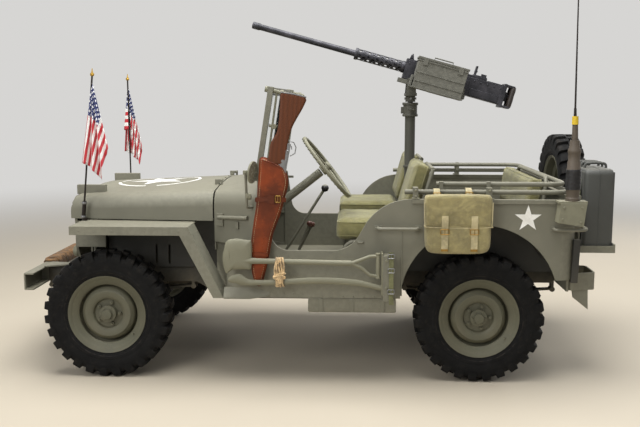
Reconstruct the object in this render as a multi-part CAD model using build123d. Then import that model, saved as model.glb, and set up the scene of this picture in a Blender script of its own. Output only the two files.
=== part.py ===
from build123d import *
import math
import os

# Army quarter-ton 4x4 car on its wheels, with the fittings that the photograph shows.
# Millimetres, +Z up, front of the car towards -X, its left side towards -Y.
# Stations x are measured from the front axle; export() moves the finished pieces so that
# the origin lies on the ground under the middle of the car.
ORIGIN_X = 1137.5

# Driving dimensions
WHEELBASE = 2032.0
TRACK_HALF = 622.5
TYRE_R = 352.0
TYRE_HALF = 80.0
WHEEL_Z = TYRE_R
RIM_R = 205.0
DRUM_R = 118.0
SPINDLE_R = 20.0
KINGPIN_Y = 500.0
BALL_R = 50.0
ARM_X = 150.0
RAIL_Y = 349.0
RAIL_WIDE = 45.0
BODY_HALF = 735.0
PANEL = 16.0
SKIN = 8.0
FLOOR_Z = 500.0
REAR_FLOOR_Z = 585.0
TUB_FRONT_X = 862.0
TUB_TOP = 1005.0
TUB_REAR_X = 2530.0
TUB_CORNER_R = 95.0
SILL_TOP = 727.0
SILL_BOTTOM = 470.0
HOOD_EDGE_Z = 856.0
HOOD_FRONT_X = -252.0
HOOD_REAR_X = 572.0
COWL_FRONT_X = 580.0
COWL_LEDGE_Z = 740.0
HOOD_HINGE = (582.0, 1056.0)
SCREEN_HINGE = (838.0, 1094.0)
SCREEN_RAKE = 9.0
SCREEN_HALF = 700.0
SCREEN_TALL = 500.0
FENDER_TOP = 850.0
FENDER_HALF = 745.0
LAMP_Y = 335.0
LAMP_Z = 775.0
PEDESTAL_X = 1690.0
TRUNNION_Z = 1625.0
GUN_ELEVATION = 15.4
COLUMN_Y = -360.0
COLUMN_SLOPE = 38.2
COLUMN_HUB = (1199.0, 1143.0)
SPARE_X = 2690.0
SPARE_Y = 330.0
SPARE_Z = 952.0
HUNG_Y = 818.0


def block(x0, x1, y0, y1, z0, z1):
    """A box from its lowest and highest coordinates."""
    return Pos((x0 + x1) / 2, (y0 + y1) / 2, (z0 + z1) / 2) * Box(x1 - x0, y1 - y0, z1 - z0)


def both(shape):
    """The shape and its mirror image on the car's other side."""
    return [shape, mirror(shape, about=Plane.XZ)]


def fuse(pieces):
    """One shape from a list of touching or overlapping shapes."""
    made = pieces[0]
    for piece in pieces[1:]:
        made = made + piece
    return made


def closed_line(points, radii):
    """A closed outline, with its corners rounded where radii are given."""
    if radii is None:
        return Polyline(*points, close=True)
    return FilletPolyline(*points, radius=radii, close=True)


def slab_y(points, y0, y1, radii=None):
    """An outline of (x, z) points extruded from y0 to y1."""
    face = Plane.XZ * make_face(closed_line(points, radii))
    return Pos(0, y0, 0) * extrude(face, amount=y1 - y0, dir=(0, 1, 0))


def slab_z(points, z0, z1, radii=None):
    """An outline of (x, y) points extruded from z0 to z1."""
    face = make_face(closed_line(points, radii))
    return Pos(0, 0, z0) * extrude(face, amount=z1 - z0, dir=(0, 0, 1))


def slab_x(points, x0, x1, radii=None):
    """An outline of (y, z) points extruded from x0 to x1."""
    face = Plane.YZ * make_face(closed_line(points, radii))
    return Pos(x0, 0, 0) * extrude(face, amount=x1 - x0, dir=(1, 0, 0))


def rod(start, end, radius):
    """A round bar between two points."""
    a, b = Vector(*start), Vector(*end)
    return extrude(Plane(origin=a, z_dir=b - a) * Circle(radius), amount=(b - a).length)


def pipe(points, radius, bends):
    """A round tube along straight runs joined by arcs of the given bend radii."""
    path = FilletPolyline(*points, radius=bends)
    start = Plane(origin=path @ 0, z_dir=path % 0)
    return sweep(start * Circle(radius), path=path)


def turned(profile):
    """A ring turned about the Y axis from closed (radius, y) points."""
    return revolve(make_face(Polyline(*profile, close=True)), axis=Axis.Y)


def arch_face(x, half, z_low, z_top, corner, crown):
    """A section across the car: upright sides, round shoulders and a crowned top."""
    r45 = corner * (1 - math.sqrt(0.5))
    edges = [
        Line((-half, z_low), (-half, z_top - corner)),
        ThreePointArc((-half, z_top - corner), (-half + r45, z_top - r45), (-half + corner, z_top)),
        ThreePointArc((-half + corner, z_top), (0, z_top + crown), (half - corner, z_top)),
        ThreePointArc((half - corner, z_top), (half - r45, z_top - r45), (half, z_top - corner)),
        Line((half, z_top - corner), (half, z_low)),
        Line((half, z_low), (-half, z_low)),
    ]
    return Pos(x, 0, 0) * (Plane.YZ * make_face(Wire(edges)))


def arch_loft(sections):
    """Ruled lofts between neighbouring sections: (x, half, z_low, z_top, corner, crown)."""
    faces = [arch_face(*s) for s in sections]
    return fuse([loft([a, b], ruled=True) for a, b in zip(faces, faces[1:])])


# Wheels, turned about the Y axis, their outer side towards -Y

LUGS = 27
FACETS = 2 * LUGS
RIB_HALF = 6.0
SHOULDER_Y = 62.0
LUG_ROOT_R = 330.0
WALL_Y = 78.0
BEAD_SIDES = 36
BEAD_R, BEAD_Y = 206.8, 56.0
WALL_R = 268.0
RIM_PROFILE = [  # radius, y
    (RIM_R, -56.5), (RIM_R + 12, -62.5), (RIM_R + 11, -68), (RIM_R - 5, -60), (186, -44), (178, -8),
    (160, 8), (151, -2), (146, -26), (126, -46), (98, -46), (84, -38), (78, -22), (46, -22), (46, -50),
    (27, -52), (26, -70), (0, -72), (0, 5), (70, 5), (84, -10), (92, -26), (100, -38),
    (122, -38), (138, -20), (144, 12), (158, 18), (186, 18), (RIM_R - 5, 58), (RIM_R + 11, 68),
    (RIM_R + 12, 62.5), (RIM_R, 56.5),
]
LUG_NUTS = 5
LUG_CIRCLE = 62.0
DRUM_Y = (4.0, 46.0)
BORE_END_Y = 8.0


def ring_point(radius, turn):
    """A point (x, z) at a radius, from a share of a turn counted from straight down."""
    return radius * math.sin(math.tau * turn), -radius * math.cos(math.tau * turn)


def ring_face(radius, sides, y):
    """A regular polygon across the wheel's axis, one corner straight down."""
    corners = [ring_point(radius, i / sides) for i in range(sides)]
    return make_face(Polyline(*[(x, y, z) for x, z in corners], close=True))


def tyre():
    """A tyre with cross lugs on both sides of a middle rib, one side half a pitch behind the other."""
    tread = loft([ring_face(TYRE_R, FACETS, -SHOULDER_Y), ring_face(TYRE_R, FACETS, SHOULDER_Y)], ruled=True)
    bore = loft([ring_face(BEAD_R, BEAD_SIDES, -BEAD_Y), ring_face(BEAD_R, BEAD_SIDES, BEAD_Y)], ruled=True)
    past = (TYRE_HALF - BEAD_Y) / (WALL_Y - BEAD_Y)
    flare_r = BEAD_R + (WALL_R - BEAD_R) * past
    for side in (-1, 1):
        shoulder = [ring_face(TYRE_R, FACETS, side * SHOULDER_Y), ring_face(LUG_ROOT_R, FACETS, side * WALL_Y)]
        tread += loft(shoulder, ruled=True)
        flare = [ring_face(BEAD_R, BEAD_SIDES, side * BEAD_Y), ring_face(flare_r, BEAD_SIDES, side * TYRE_HALF)]
        bore += loft(flare, ruled=True)
    gaps = []
    for i in range(FACETS):
        turns = (i / FACETS, (i + 1) / FACETS)
        corners = [ring_point(LUG_ROOT_R, turns[0]), ring_point(TYRE_R + 20, turns[0]),
                   ring_point(TYRE_R + 20, turns[1]), ring_point(LUG_ROOT_R, turns[1])]
        y0, y1 = (RIB_HALF, TYRE_HALF) if i % 2 else (-TYRE_HALF, -RIB_HALF)
        gaps.append(slab_y(corners, y0, y1))
    return tread - gaps - bore


def rim(with_drum=True):
    """A dished disc wheel with its hub and nuts and, on the road wheels, its brake drum."""
    made = [turned(RIM_PROFILE)]
    for i in range(LUG_NUTS):
        nut = Pos(LUG_CIRCLE, -27, 0) * Rot(90, 0, 0) * Cylinder(10.5, 14)
        made.append(Rot(0, 360 / LUG_NUTS * i, 0) * nut)
    if not with_drum:
        return fuse(made)
    made.append(rod((0, DRUM_Y[0], 0), (0, DRUM_Y[1], 0), DRUM_R))
    return fuse(made) - rod((0, BORE_END_Y, 0), (0, DRUM_Y[1] + 1, 0), SPINDLE_R + 0.5)


def road_wheel(shape, x, side):
    """Places a wheel piece on the side given (-1 is left)."""
    if side > 0:
        shape = mirror(shape, about=Plane.XZ)
    return Pos(x, side * TRACK_HALF, WHEEL_Z) * shape


def spare(shape):
    """Turns a wheel piece to face backwards on the spare wheel's carrier."""
    return Pos(SPARE_X, SPARE_Y, SPARE_Z) * Rot(0, 0, 90) * shape


# Chassis

RAIL_TOP = [(-433, 562), (440, 562), (600, 492), (1590, 492), (1650, 576), (2500, 576)]  # x, z
RAIL_LOW = [(-433, 474), (440, 474), (560, 404), (1560, 404), (1626, 484), (2500, 484)]
RAIL_WALL = 7.0
RAIL_OUT = RAIL_Y + RAIL_WIDE / 2
CROSS_TUBES = [(-380, 516), (-150, 516), (1110, 446), (1500, 446), (2130, 530), (2470, 530)]  # x, z
CROSS_R = 27.0


def chassis_frame():
    """Two channel rails with their kick-ups, open towards the middle and tied by tubes."""
    rail = slab_y(RAIL_TOP + RAIL_LOW[::-1], -RAIL_OUT, -RAIL_OUT + RAIL_WIDE)
    inside = [(x, z - RAIL_WALL) for x, z in RAIL_TOP] + [(x, z + RAIL_WALL) for x, z in RAIL_LOW[::-1]]
    rail -= slab_y(inside, -RAIL_OUT + RAIL_WALL, -RAIL_OUT + RAIL_WIDE + 1)
    reach = RAIL_OUT - RAIL_WALL / 2
    return fuse(both(rail) + [rod((x, -reach, z), (x, reach, z), CROSS_R) for x, z in CROSS_TUBES])


BUMPER_X = -485.0
BUMPER_DEEP = 52.0
BUMPER_HALF = 610.0
BUMPER_LOW, BUMPER_HIGH = 468.0, 563.0
ROPE_HALF = 285.0
ROPE_THICK = 22.0


def front_bumper():
    """A channel beam on the frame horns, with its two gusset plates."""
    rear = BUMPER_X + BUMPER_DEEP
    beam = block(BUMPER_X, rear, -BUMPER_HALF, BUMPER_HALF, BUMPER_LOW, BUMPER_HIGH)
    beam -= block(BUMPER_X + 8, rear + 1, -BUMPER_HALF - 1, BUMPER_HALF + 1, BUMPER_LOW + 8, BUMPER_HIGH - 8)
    gusset = slab_z([(rear - 5, 300), (rear - 5, 430), (rear + 5, 430), (-300, 374), (-300, 327), (rear + 5, 300)],
                    562, 570)
    horn = block(BUMPER_X + 7, rear, 327, 371, BUMPER_LOW + 7, BUMPER_HIGH - 7)
    return fuse([beam] + both(gusset) + both(horn))


def bumper_rope():
    """The rope wound round the middle of the front bumper, as its outer form."""
    x0, x1 = BUMPER_X, BUMPER_X + BUMPER_DEEP
    outer = block(x0 - ROPE_THICK, x1 + ROPE_THICK, -ROPE_HALF, ROPE_HALF,
                  BUMPER_LOW - ROPE_THICK, BUMPER_HIGH + ROPE_THICK)
    outer = fillet(outer.edges().filter_by(Axis.Y), 20)
    return outer - block(x0 - 0.5, x1 + 0.5, -ROPE_HALF - 1, ROPE_HALF + 1, BUMPER_LOW - 0.5, BUMPER_HIGH + 0.5)


def rear_bumpers():
    """Two channel-shaped bumper arms on the rear cross bar, and the towing hook between them."""
    outer = slab_z([(2512, -640), (2512, -372), (2665, -410), (2665, -602)], 500, 594, 24)
    arm = outer - slab_z([(2490, -628), (2490, -384), (2655, -418), (2655, -594)], 499, 595, 18)
    arm -= block(2500, TUB_REAR_X + 1, -700, -300, 575, 600)
    bar = block(2501, 2513, -640, 640, 496, 574)
    hook = rod((2505, 0, 535), (2600, 0, 535), 24)
    jaw = Pos(2628, 0, 535) * (Cylinder(44, 36) - Cylinder(20, 40))
    plate = slab_y([(2530, 545), (2546, 457), (2629, 391), (2623, 545)], -612, -604)
    stay = block(2501, 2560, -620, -604, 500, 545)
    return fuse([bar, hook, jaw] + both(arm) + both(plate + stay))


LEAVES = 5
LEAF_THICK = 8.0
LEAF_WIDE = 45.0
SPRING_SEAT_Z = 396.0
SPRING_SAG = 14.0
LEAF_STEP = 0.17
SPRINGS = [  # x of the axle, length ahead of it, length behind it, z of the rail's underside
    (0.0, 420.0, 420.0, 474.0), (WHEELBASE, 384.0, 460.0, 484.0),
]
EYE_R = 15.0


def leaf_pack(x, ahead, behind):
    """The side view of one pack: leaves stepped at their ends, curving up from the middle."""
    top_z = SPRING_SEAT_Z + LEAF_THICK * LEAVES
    shares = [1 - i * LEAF_STEP for i in range(LEAVES)] + [0.0]
    top = [(s, 0) for s in (0.0, 0.25, 0.5, 0.75, 1.0)]
    low = []
    for i in range(LEAVES):
        low += [(shares[i], i + 1), (shares[i + 1], i + 1)]
    rear = [(x + behind * s, top_z + SPRING_SAG * s * s - LEAF_THICK * n) for s, n in top + low]
    front = [(x - ahead * s, top_z + SPRING_SAG * s * s - LEAF_THICK * n) for s, n in (top + low)[1:-1]]
    return slab_y(rear + front[::-1], -RAIL_Y - LEAF_WIDE / 2, -RAIL_Y + LEAF_WIDE / 2)


def leaf_springs():
    """Four leaf packs on the axles, with the eyes that hang from the rails and the clamp plates."""
    packs = []
    for x, ahead, behind, rail_z in SPRINGS:
        pack = [leaf_pack(x, ahead, behind)]
        eye_z = SPRING_SEAT_Z + LEAF_THICK * (LEAVES - 0.5) + SPRING_SAG
        for eye_x in (x - ahead, x + behind):
            pack.append(Pos(eye_x, -RAIL_Y, eye_z) * Rot(90, 0, 0) * Cylinder(EYE_R, LEAF_WIDE))
            pack.append(block(eye_x - 8, eye_x + 8, -RAIL_Y - LEAF_WIDE / 2, -RAIL_Y + LEAF_WIDE / 2, eye_z, rail_z))
        clamp_z = SPRING_SEAT_Z + LEAF_THICK * LEAVES
        pack.append(block(x - 45, x + 45, -RAIL_Y - 34, -RAIL_Y + 34, clamp_z - 2, clamp_z + 8))
        packs += both(fuse(pack))
    return Compound(packs)


AXLE_R = 36.0
DIFF_Y = 165.0
DIFF_R = 124.0
PLATE_Y = (557.0, 570.0)
PINION_R = 46.0


def axle_beam(x, end, nose):
    """A tubular axle with its round gear housing, its pinion nose and the two spring seats."""
    tube = rod((x, -end, WHEEL_Z), (x, end, WHEEL_Z), AXLE_R)
    bulb = Pos(x, DIFF_Y, WHEEL_Z) * Sphere(DIFF_R)
    bulb = bulb & block(x - 200, x + 200, DIFF_Y - 92, DIFF_Y + 92, WHEEL_Z - 200, WHEEL_Z + 200)
    pinion = rod((x, DIFF_Y, WHEEL_Z + 4), (x + nose, DIFF_Y, WHEEL_Z + 4), PINION_R)
    seats = both(block(x - 40, x + 40, -RAIL_Y - 30, -RAIL_Y + 30, WHEEL_Z + 20, SPRING_SEAT_Z - 0.1))
    return fuse([tube, bulb, pinion] + seats)


def axle_front():
    """The driven front axle, closed by the two balls that the steering knuckles turn on."""
    balls = both(Pos(0, -KINGPIN_Y, WHEEL_Z) * Sphere(BALL_R))
    return fuse([axle_beam(0.0, 470.0, 150.0)] + balls)


def hub_carrier(y):
    """A brake's backing plate and the spindle for the wheel, their inner face at y."""
    depth = PLATE_Y[1] - PLATE_Y[0]
    plate = rod((0, y, 0), (0, y - depth, 0), 126)
    return plate + rod((0, y - depth + 1, 0), (0, y - depth - 40, 0), SPINDLE_R)


def axle_rear():
    """The rear axle, whose tubes end in the brake backing plates."""
    ends = both(Pos(WHEELBASE, 0, WHEEL_Z) * hub_carrier(-PLATE_Y[0]))
    return fuse([axle_beam(WHEELBASE, PLATE_Y[0] + 2, -150.0)] + ends)


def knuckle(side):
    """A steering knuckle: the cup round the axle's ball, kingpin bosses, arm and backing plate."""
    ball = Sphere(BALL_R + 2)
    cup = Sphere(62) & block(-80, 80, -80, -8, -80, 80)
    bosses = [Pos(0, 0, z) * Cylinder(22, 34) for z in (-69, 69)]
    arm = slab_z([(0, -52), (48, -45), (ARM_X + 16, -12), (ARM_X + 16, 20), (ARM_X - 14, 20), (38, -14), (0, -14)],
                 -52, -40)
    made = fuse([cup] + bosses + [arm]) - ball
    made = made + hub_carrier(-(PLATE_Y[0] - KINGPIN_Y))
    if side > 0:
        made = mirror(made, about=Plane.XZ)
    return Pos(0, side * KINGPIN_Y, WHEEL_Z) * made


def tie_rod():
    """The rod that joins the two steering arms, just below them."""
    end_y = KINGPIN_Y - 6
    z = WHEEL_Z - 70
    ends = both(Pos(ARM_X, -end_y, z) * Cylinder(18, 24))
    return fuse([rod((ARM_X, -end_y, z), (ARM_X, end_y, z), 11)] + ends)


def engine_block():
    """The engine as one plain block, and the radiator core behind the grille."""
    return Compound([block(-40, 520, -150, 150, 500, 930), block(-188, -128, -235, 235, 560, 930)])


GEARBOX = (572, 870, -110, 110, 350, 486)
TRANSFER = (870, 1080, -70, 215, 330, 486)
SKID = [(620, 350), (712, 350), (772, 325), (1084, 325), (1094, 419), (1136, 419),
        (1136, 412), (1100, 412), (1092, 318), (770, 318), (710, 343), (620, 343)]
SHAFT_R = 24.0


def drivetrain():
    """Bell housing, gearbox and transfer case with their skid plate, and the propeller shafts."""
    bell = rod((520, 0, 500), (574, 0, 500), 140)
    shafts = [
        rod((152, DIFF_Y, WHEEL_Z + 6), (871, DIFF_Y, 385), SHAFT_R),
        rod((1079, DIFF_Y, 378), (WHEELBASE - 152, DIFF_Y, WHEEL_Z + 6), SHAFT_R),
    ]
    return fuse([bell, block(*GEARBOX), block(*TRANSFER), slab_y(SKID, -130, 130)] + shafts)


def exhaust():
    """Down pipe from the engine, muffler hung from a cross tube, and its outlet."""
    front = pipe([(440, 151, 600), (440, 240, 600), (560, 240, 372), (1200, 250, 352), (1292, 255, 352)],
                 20, [40, 60, 60])
    can = rod((1290, 255, 352), (1690, 255, 352), 52)
    outlet = rod((1688, 255, 352), (1780, 255, 352), 20)
    strap = block(1490, 1510, 235, 275, 398, 421)
    return fuse([front, can, outlet, strap - rod((1500, 0, 446), (1500, 400, 446), CROSS_R)])


# Body tub

ARCH_CENTRE = (2020.0, 452.0)
ARCH_R = 418.0
SIDE_OUTLINE = [  # x, z, corner radius
    (TUB_FRONT_X, SILL_BOTTOM, 8), (2400, SILL_BOTTOM, 5), (2402, 577, 5), (TUB_REAR_X + 1, 577, 5),
    (TUB_REAR_X + 1, TUB_TOP, 5), (1494, TUB_TOP, 285), (1334, SILL_TOP, 160), (925, SILL_TOP, 96),
    (884, 1030, 10), (TUB_FRONT_X, 1030, 8),
]
HANDLE_R = 9.0


def arch_cut(y0, y1, grow=0.0):
    """The rear wheel opening: a round arch that runs down past the sill."""
    radius = ARCH_R + grow
    drum = Pos(ARCH_CENTRE[0], (y0 + y1) / 2, ARCH_CENTRE[1]) * Rot(90, 0, 0) * Cylinder(radius, y1 - y0)
    return drum + block(ARCH_CENTRE[0] - radius, ARCH_CENTRE[0] + radius, y0, y1, 300, ARCH_CENTRE[1])


def side_panel():
    """A body side with its door opening, wheel arch, rolled top and grab handles."""
    rear, inner = TUB_REAR_X, BODY_HALF - PANEL
    outer_plan = [(TUB_FRONT_X, -BODY_HALF), (rear, -BODY_HALF), (rear, -TUB_CORNER_R - 540), (TUB_FRONT_X, -635)]
    inner_plan = [(TUB_FRONT_X - 1, -inner), (rear - PANEL, -inner), (rear - PANEL, -600), (TUB_FRONT_X - 1, -600)]
    wall = slab_z(outer_plan, 300, 1100, [1, TUB_CORNER_R, 1, 1])
    wall -= slab_z(inner_plan, 299, 1101, [1, TUB_CORNER_R - PANEL, 1, 1])
    wall = wall & slab_y([(x, z) for x, z, r in SIDE_OUTLINE], -BODY_HALF - 1, -600, [r for x, z, r in SIDE_OUTLINE])
    wall -= arch_cut(-BODY_HALF - 1, -600)
    roll = block(1660, rear - TUB_CORNER_R, -BODY_HALF - 6, -inner + 8, TUB_TOP - 22, TUB_TOP)
    y_in, y_out = -BODY_HALF + 4, -BODY_HALF - 38
    grip = pipe([(1482, y_in, 852), (1482, y_out, 852), (1690, y_out, 852), (1690, y_in, 852)], HANDLE_R, 16)
    lift = pipe([(2400, y_in, 852), (2400, y_out, 852), (2572, y_out, 852), (2572, -652, 852), (2520, -652, 852)],
                HANDLE_R, [16, 60, 16])
    return fuse([wall, roll, grip, lift])


def side_left():
    """The left side also carries the bracket that holds the shovel's grip and the axe's head."""
    return side_panel() + block(1508, 1545, -HUNG_Y, -BODY_HALF + 2, SILL_BOTTOM + 4, 716)


def side_right():
    return mirror(side_panel(), about=Plane.XZ)


WELL_OUTLINE = [  # x, z of the inner arch as the load space shows it
    (1590, 577), (1606, 640), (1660, 740), (1740, 830), (1830, 894), (2514, 894), (2514, 577),
]
WELL_IN = 498.0


def wheel_wells():
    """The two inner arches, rounded in front, whose flat tops are seats in the load space."""
    side = BODY_HALF - PANEL
    box = slab_y(WELL_OUTLINE, -side, -WELL_IN)
    box -= arch_cut(-side - 1, -WELL_IN - PANEL)
    tail_x = ARCH_CENTRE[0] + ARCH_R
    box -= block(tail_x - 60, 2498, -side - 1, -WELL_IN - PANEL, 570, 878)
    # the body's rounded rear corner
    box = box & slab_z([(1500, -side), (TUB_REAR_X - PANEL, -side), (TUB_REAR_X - PANEL, -400), (1500, -400)],
                       500, 1000, [1, TUB_CORNER_R - PANEL, 1, 1])
    return Compound(both(box))


def rear_panel():
    """The rear panel with its rolled top, the spare wheel's bracket and the fuel can's cradle."""
    half, x = 634.9, TUB_REAR_X
    pieces = [
        block(x - PANEL, x, -half, half, 577, TUB_TOP),
        block(x - PANEL - 2, x + 8, -half, half, TUB_TOP - 20, TUB_TOP),
        block(x - 1, SPARE_X - 5, SPARE_Y - 45, SPARE_Y + 45, SPARE_Z - 45, SPARE_Z + 45),
        block(x - 1, x + 12, SPARE_Y - 120, SPARE_Y + 120, SPARE_Z - 150, SPARE_Z + 45),
        block(2590, 2782, -545, -175, 692, 700), block(2774, 2782, -545, -175, 692, 740),
        block(2590, 2782, -545, -537, 692, 730), block(2590, 2782, -183, -175, 692, 730),
        block(2590, 2600, -500, -220, 692, 1000),
    ]
    for y in (-460, -260):
        for z in (720, 920):
            pieces.append(block(x - 1, 2591, y - 18, y + 18, z, z + 30))
    return fuse(pieces)


TANK_X = (1111.0, 1582.0)
TANK_IN = 258.0


def floor_pan():
    """Floors, toe board, the step under the seats, the gearbox tunnel and the sills."""
    half = BODY_HALF - PANEL
    front = block(806, 1588, -half, half, FLOOR_Z - 8, FLOOR_Z)
    front -= block(TANK_X[0] - 1, 1580, -half - 1, -TANK_IN + 6, FLOOR_Z - 9, FLOOR_Z + 1)
    wings = both(slab_z([(673, -530), (673, -half), (807, -half), (807, -530)], FLOOR_Z - 8, FLOOR_Z, [1, 54, 1, 1]))
    toe = slab_y([(604, 700), (616, 700), (807, 500), (807, 492), (798, 492), (604, 694)], -524, 524)
    cheeks = both(slab_y([(673, 492), (673, 640), (807, 500), (807, 492)], -533, -523))
    riser = block(1580, 1588, -half, half, FLOOR_Z - 8, REAR_FLOOR_Z)
    rear = block(1580, 2514, -WELL_IN, WELL_IN, REAR_FLOOR_Z - 8, REAR_FLOOR_Z)
    tunnel = slab_x([(-120, FLOOR_Z - 4), (-95, FLOOR_Z + 60), (95, FLOOR_Z + 60), (120, FLOOR_Z - 4)], 720, 1050)
    sill = block(TUB_FRONT_X, 1588, half - 10, half, SILL_BOTTOM, FLOOR_Z - 7)
    sill_left = block(TUB_FRONT_X, TANK_X[0] - 1, -half, -half + 10, SILL_BOTTOM, FLOOR_Z - 7)
    return fuse([front, toe, riser, rear, tunnel, sill, sill_left] + wings + cheeks)


def fuel_tank():
    """The fuel tank under the driver's seat, and its well that hangs below the sill."""
    well = block(*TANK_X, -BODY_HALF, -378, 390, SILL_BOTTOM - 1)
    well = fillet(well.edges().filter_by(Axis.X) + well.edges().filter_by(Axis.Y), 12)
    neck = block(1125, 1574, -BODY_HALF + PANEL + 3, -378, SILL_BOTTOM - 14, 500)
    tank = block(1125, 1574, -BODY_HALF + PANEL + 3, -TANK_IN, 502, 640)
    return fuse([well, neck, block(1125, 1574, -BODY_HALF + PANEL + 3, -378, 490, 510), tank])


# Front of the body

COWL_OUTER = [  # x, half width, lowest z, shoulder z, corner radius, crown
    (COWL_FRONT_X, 545, COWL_LEDGE_Z, 1020, 80, 25), (TUB_FRONT_X, 733, COWL_LEDGE_Z, 1030, 60, 25),
]
COWL_INNER = [
    (COWL_FRONT_X + 8, 543, 700, 1012, 75, 25), (TUB_FRONT_X + 1, 726, 700, 1022, 55, 25),
]
CORNER_OUTER = [(588, -500), (588, -530), (664, -566), (664, -BODY_HALF), (TUB_FRONT_X, -BODY_HALF),
                (TUB_FRONT_X, -500)]
CORNER_INNER = [(570, -490), (570, -515), (589, -521), (672, -560), (672, -BODY_HALF + 8), (870, -BODY_HALF + 8),
                (870, -490)]
SCREEN_LUGS = (535.5, 584.5)
HOOD_LUGS = 308.0


def screen_lug(y):
    """One ear of a windscreen hinge, with the hole for its pin."""
    x, z = SCREEN_HINGE
    ear = block(x - 12, x + 12, y - 5.5, y + 5.5, 1020, z + 10)
    return ear - rod((x, y - 10, z), (x, y + 10, z), 6.3)


def cowl_side(x, out):
    """The y of a point beside the scuttle's flared left side, some way out from its face."""
    (x0, half0), (x1, half1) = COWL_OUTER[0][:2], COWL_OUTER[1][:2]
    slope = (half1 - half0) / (x1 - x0)
    return -(half0 + slope * (x - x0) + out * math.hypot(1, slope))


def cowl_rod():
    """The stay rod on the scuttle's side, with the bracket that it is bolted to."""
    flare = math.degrees(math.atan2(COWL_OUTER[1][1] - COWL_OUTER[0][1], COWL_OUTER[1][0] - COWL_OUTER[0][0]))
    bracket = Pos(618, cowl_side(618, 3), 868) * Rot(0, 0, -flare) * Box(48, 14, 68)
    stay = rod((606, cowl_side(606, 9), 880), (784, cowl_side(784, 9), 893), 11)
    bolt = Pos(722, cowl_side(722, 3), 848) * Rot(0, 0, -flare) * Box(22, 14, 38)
    return fuse([bracket, stay, bolt])


LIP = [(-722, 524), (-735, 524), (-768, 476), (-768, 468), (-722, 468)]  # y, z
LIP_MID = [(-722, 511), (-735, 511), (-755, 480), (-755, 474), (-722, 474)]
LIP_TAIL = [(-735.3, 511), (-755, 480), (-755, 474), (-735.3, 474)]
LIP_END = [(-735.3, 500), (-741, 484), (-741, 478), (-735.3, 478)]
LIP_X = (660.0, 800.0, 861.0, 905.0)


def foot_lip():
    """The flared lip at the foot of the body's front corner, tapering out under the door."""
    def section(x, points):
        return make_face(Polyline(*[(x, y, z) for y, z in points], close=True))
    x0, x1, x2, x3 = LIP_X
    return [
        slab_x(LIP, x0, x1), loft([section(x1, LIP), section(x2, LIP_MID)], ruled=True),
        loft([section(x2, LIP_TAIL), section(x3, LIP_END)], ruled=True),
    ]


def cowl():
    """Scuttle between the hood and the dash, and the wider lower corners with their ledges."""
    inner = arch_loft(COWL_INNER)
    shell = arch_loft(COWL_OUTER) - inner
    dash = block(830, 840, -760, 760, 905, 1100) & inner
    corner = slab_z(CORNER_OUTER, 480, COWL_LEDGE_Z, [1, 1, 1, 70, 1, 1])
    wall = corner - slab_z(CORNER_INNER, 479, COWL_LEDGE_Z + 1, [1, 1, 1, 1, 62, 1, 1])
    ledge = corner & block(500, 900, -800, 0, COWL_LEDGE_Z - SKIN, COWL_LEDGE_Z)
    ledge -= slab_z([(588, -499), (588, -537), (TUB_FRONT_X + 1, -721), (TUB_FRONT_X + 1, -499)],
                    COWL_LEDGE_Z - SKIN - 1, COWL_LEDGE_Z + 1)
    bulkhead = block(COWL_FRONT_X, COWL_FRONT_X + 8, -543, 543, 694, COWL_LEDGE_Z + 1)
    lugs = [screen_lug(y) for y in SCREEN_LUGS]
    hx, hz = HOOD_HINGE
    strap = block(hx - 1, hx + 10, HOOD_LUGS - 6, HOOD_LUGS + 6, 1030, hz + 8)
    strap += rod((hx, HOOD_LUGS, hz), (hx, HOOD_LUGS - 28, hz), 4)
    strap += rod((hx, HOOD_LUGS - 6, hz), (hx, HOOD_LUGS + 6, hz), 8)
    sides = []
    for piece in [wall, ledge] + lugs + [strap, cowl_rod()] + foot_lip():
        sides += both(piece)
    return fuse([shell, dash, bulkhead] + sides)


GRILLE_X = -236.0
GRILLE_THICK = 14.0
GRILLE_HALF = 456.0
GRILLE_LOW, GRILLE_HIGH = 566.0, 930.0
GRILLE_FOOT_HALF = 416.0
GRILLE_FOOT_TOP, GRILLE_FULL_Z = 624.0, 684.0
SLOTS = 9
SLOT_PITCH = 54.0
SLOT_HALF = 15.0
SLOT_Z = (600.0, 900.0)
LAMP_HOLE_R = 86.0


def grille():
    """The stamped front panel with its upright slots and lamp openings, narrow at its foot for the wheels."""
    edge = [(-GRILLE_FOOT_HALF, GRILLE_LOW), (-GRILLE_FOOT_HALF, GRILLE_FOOT_TOP), (-GRILLE_HALF, GRILLE_FULL_Z),
            (-GRILLE_HALF, GRILLE_HIGH)]
    outline = edge + [(-y, z) for y, z in edge[::-1]]
    panel = slab_x(outline, GRILLE_X, GRILLE_X + GRILLE_THICK, [6, 30, 30, 40, 40, 30, 30, 6])
    low, high = SLOT_Z
    for i in range(SLOTS):
        y = (i - (SLOTS - 1) / 2) * SLOT_PITCH
        slot = [(y - SLOT_HALF, low), (y + SLOT_HALF, low), (y + SLOT_HALF, high), (y - SLOT_HALF, high)]
        panel -= slab_x(slot, GRILLE_X - 1, GRILLE_X + GRILLE_THICK + 1, SLOT_HALF - 0.5)
    for y in (-LAMP_Y, LAMP_Y):
        panel -= rod((GRILLE_X - 1, y, LAMP_Z), (GRILLE_X + GRILLE_THICK + 1, y, LAMP_Z), LAMP_HOLE_R)
    side = block(GRILLE_X + 1, -62, -GRILLE_HALF, -GRILLE_HALF + 8, GRILLE_FULL_Z + 4, 838)
    return fuse([panel] + both(side))


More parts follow.
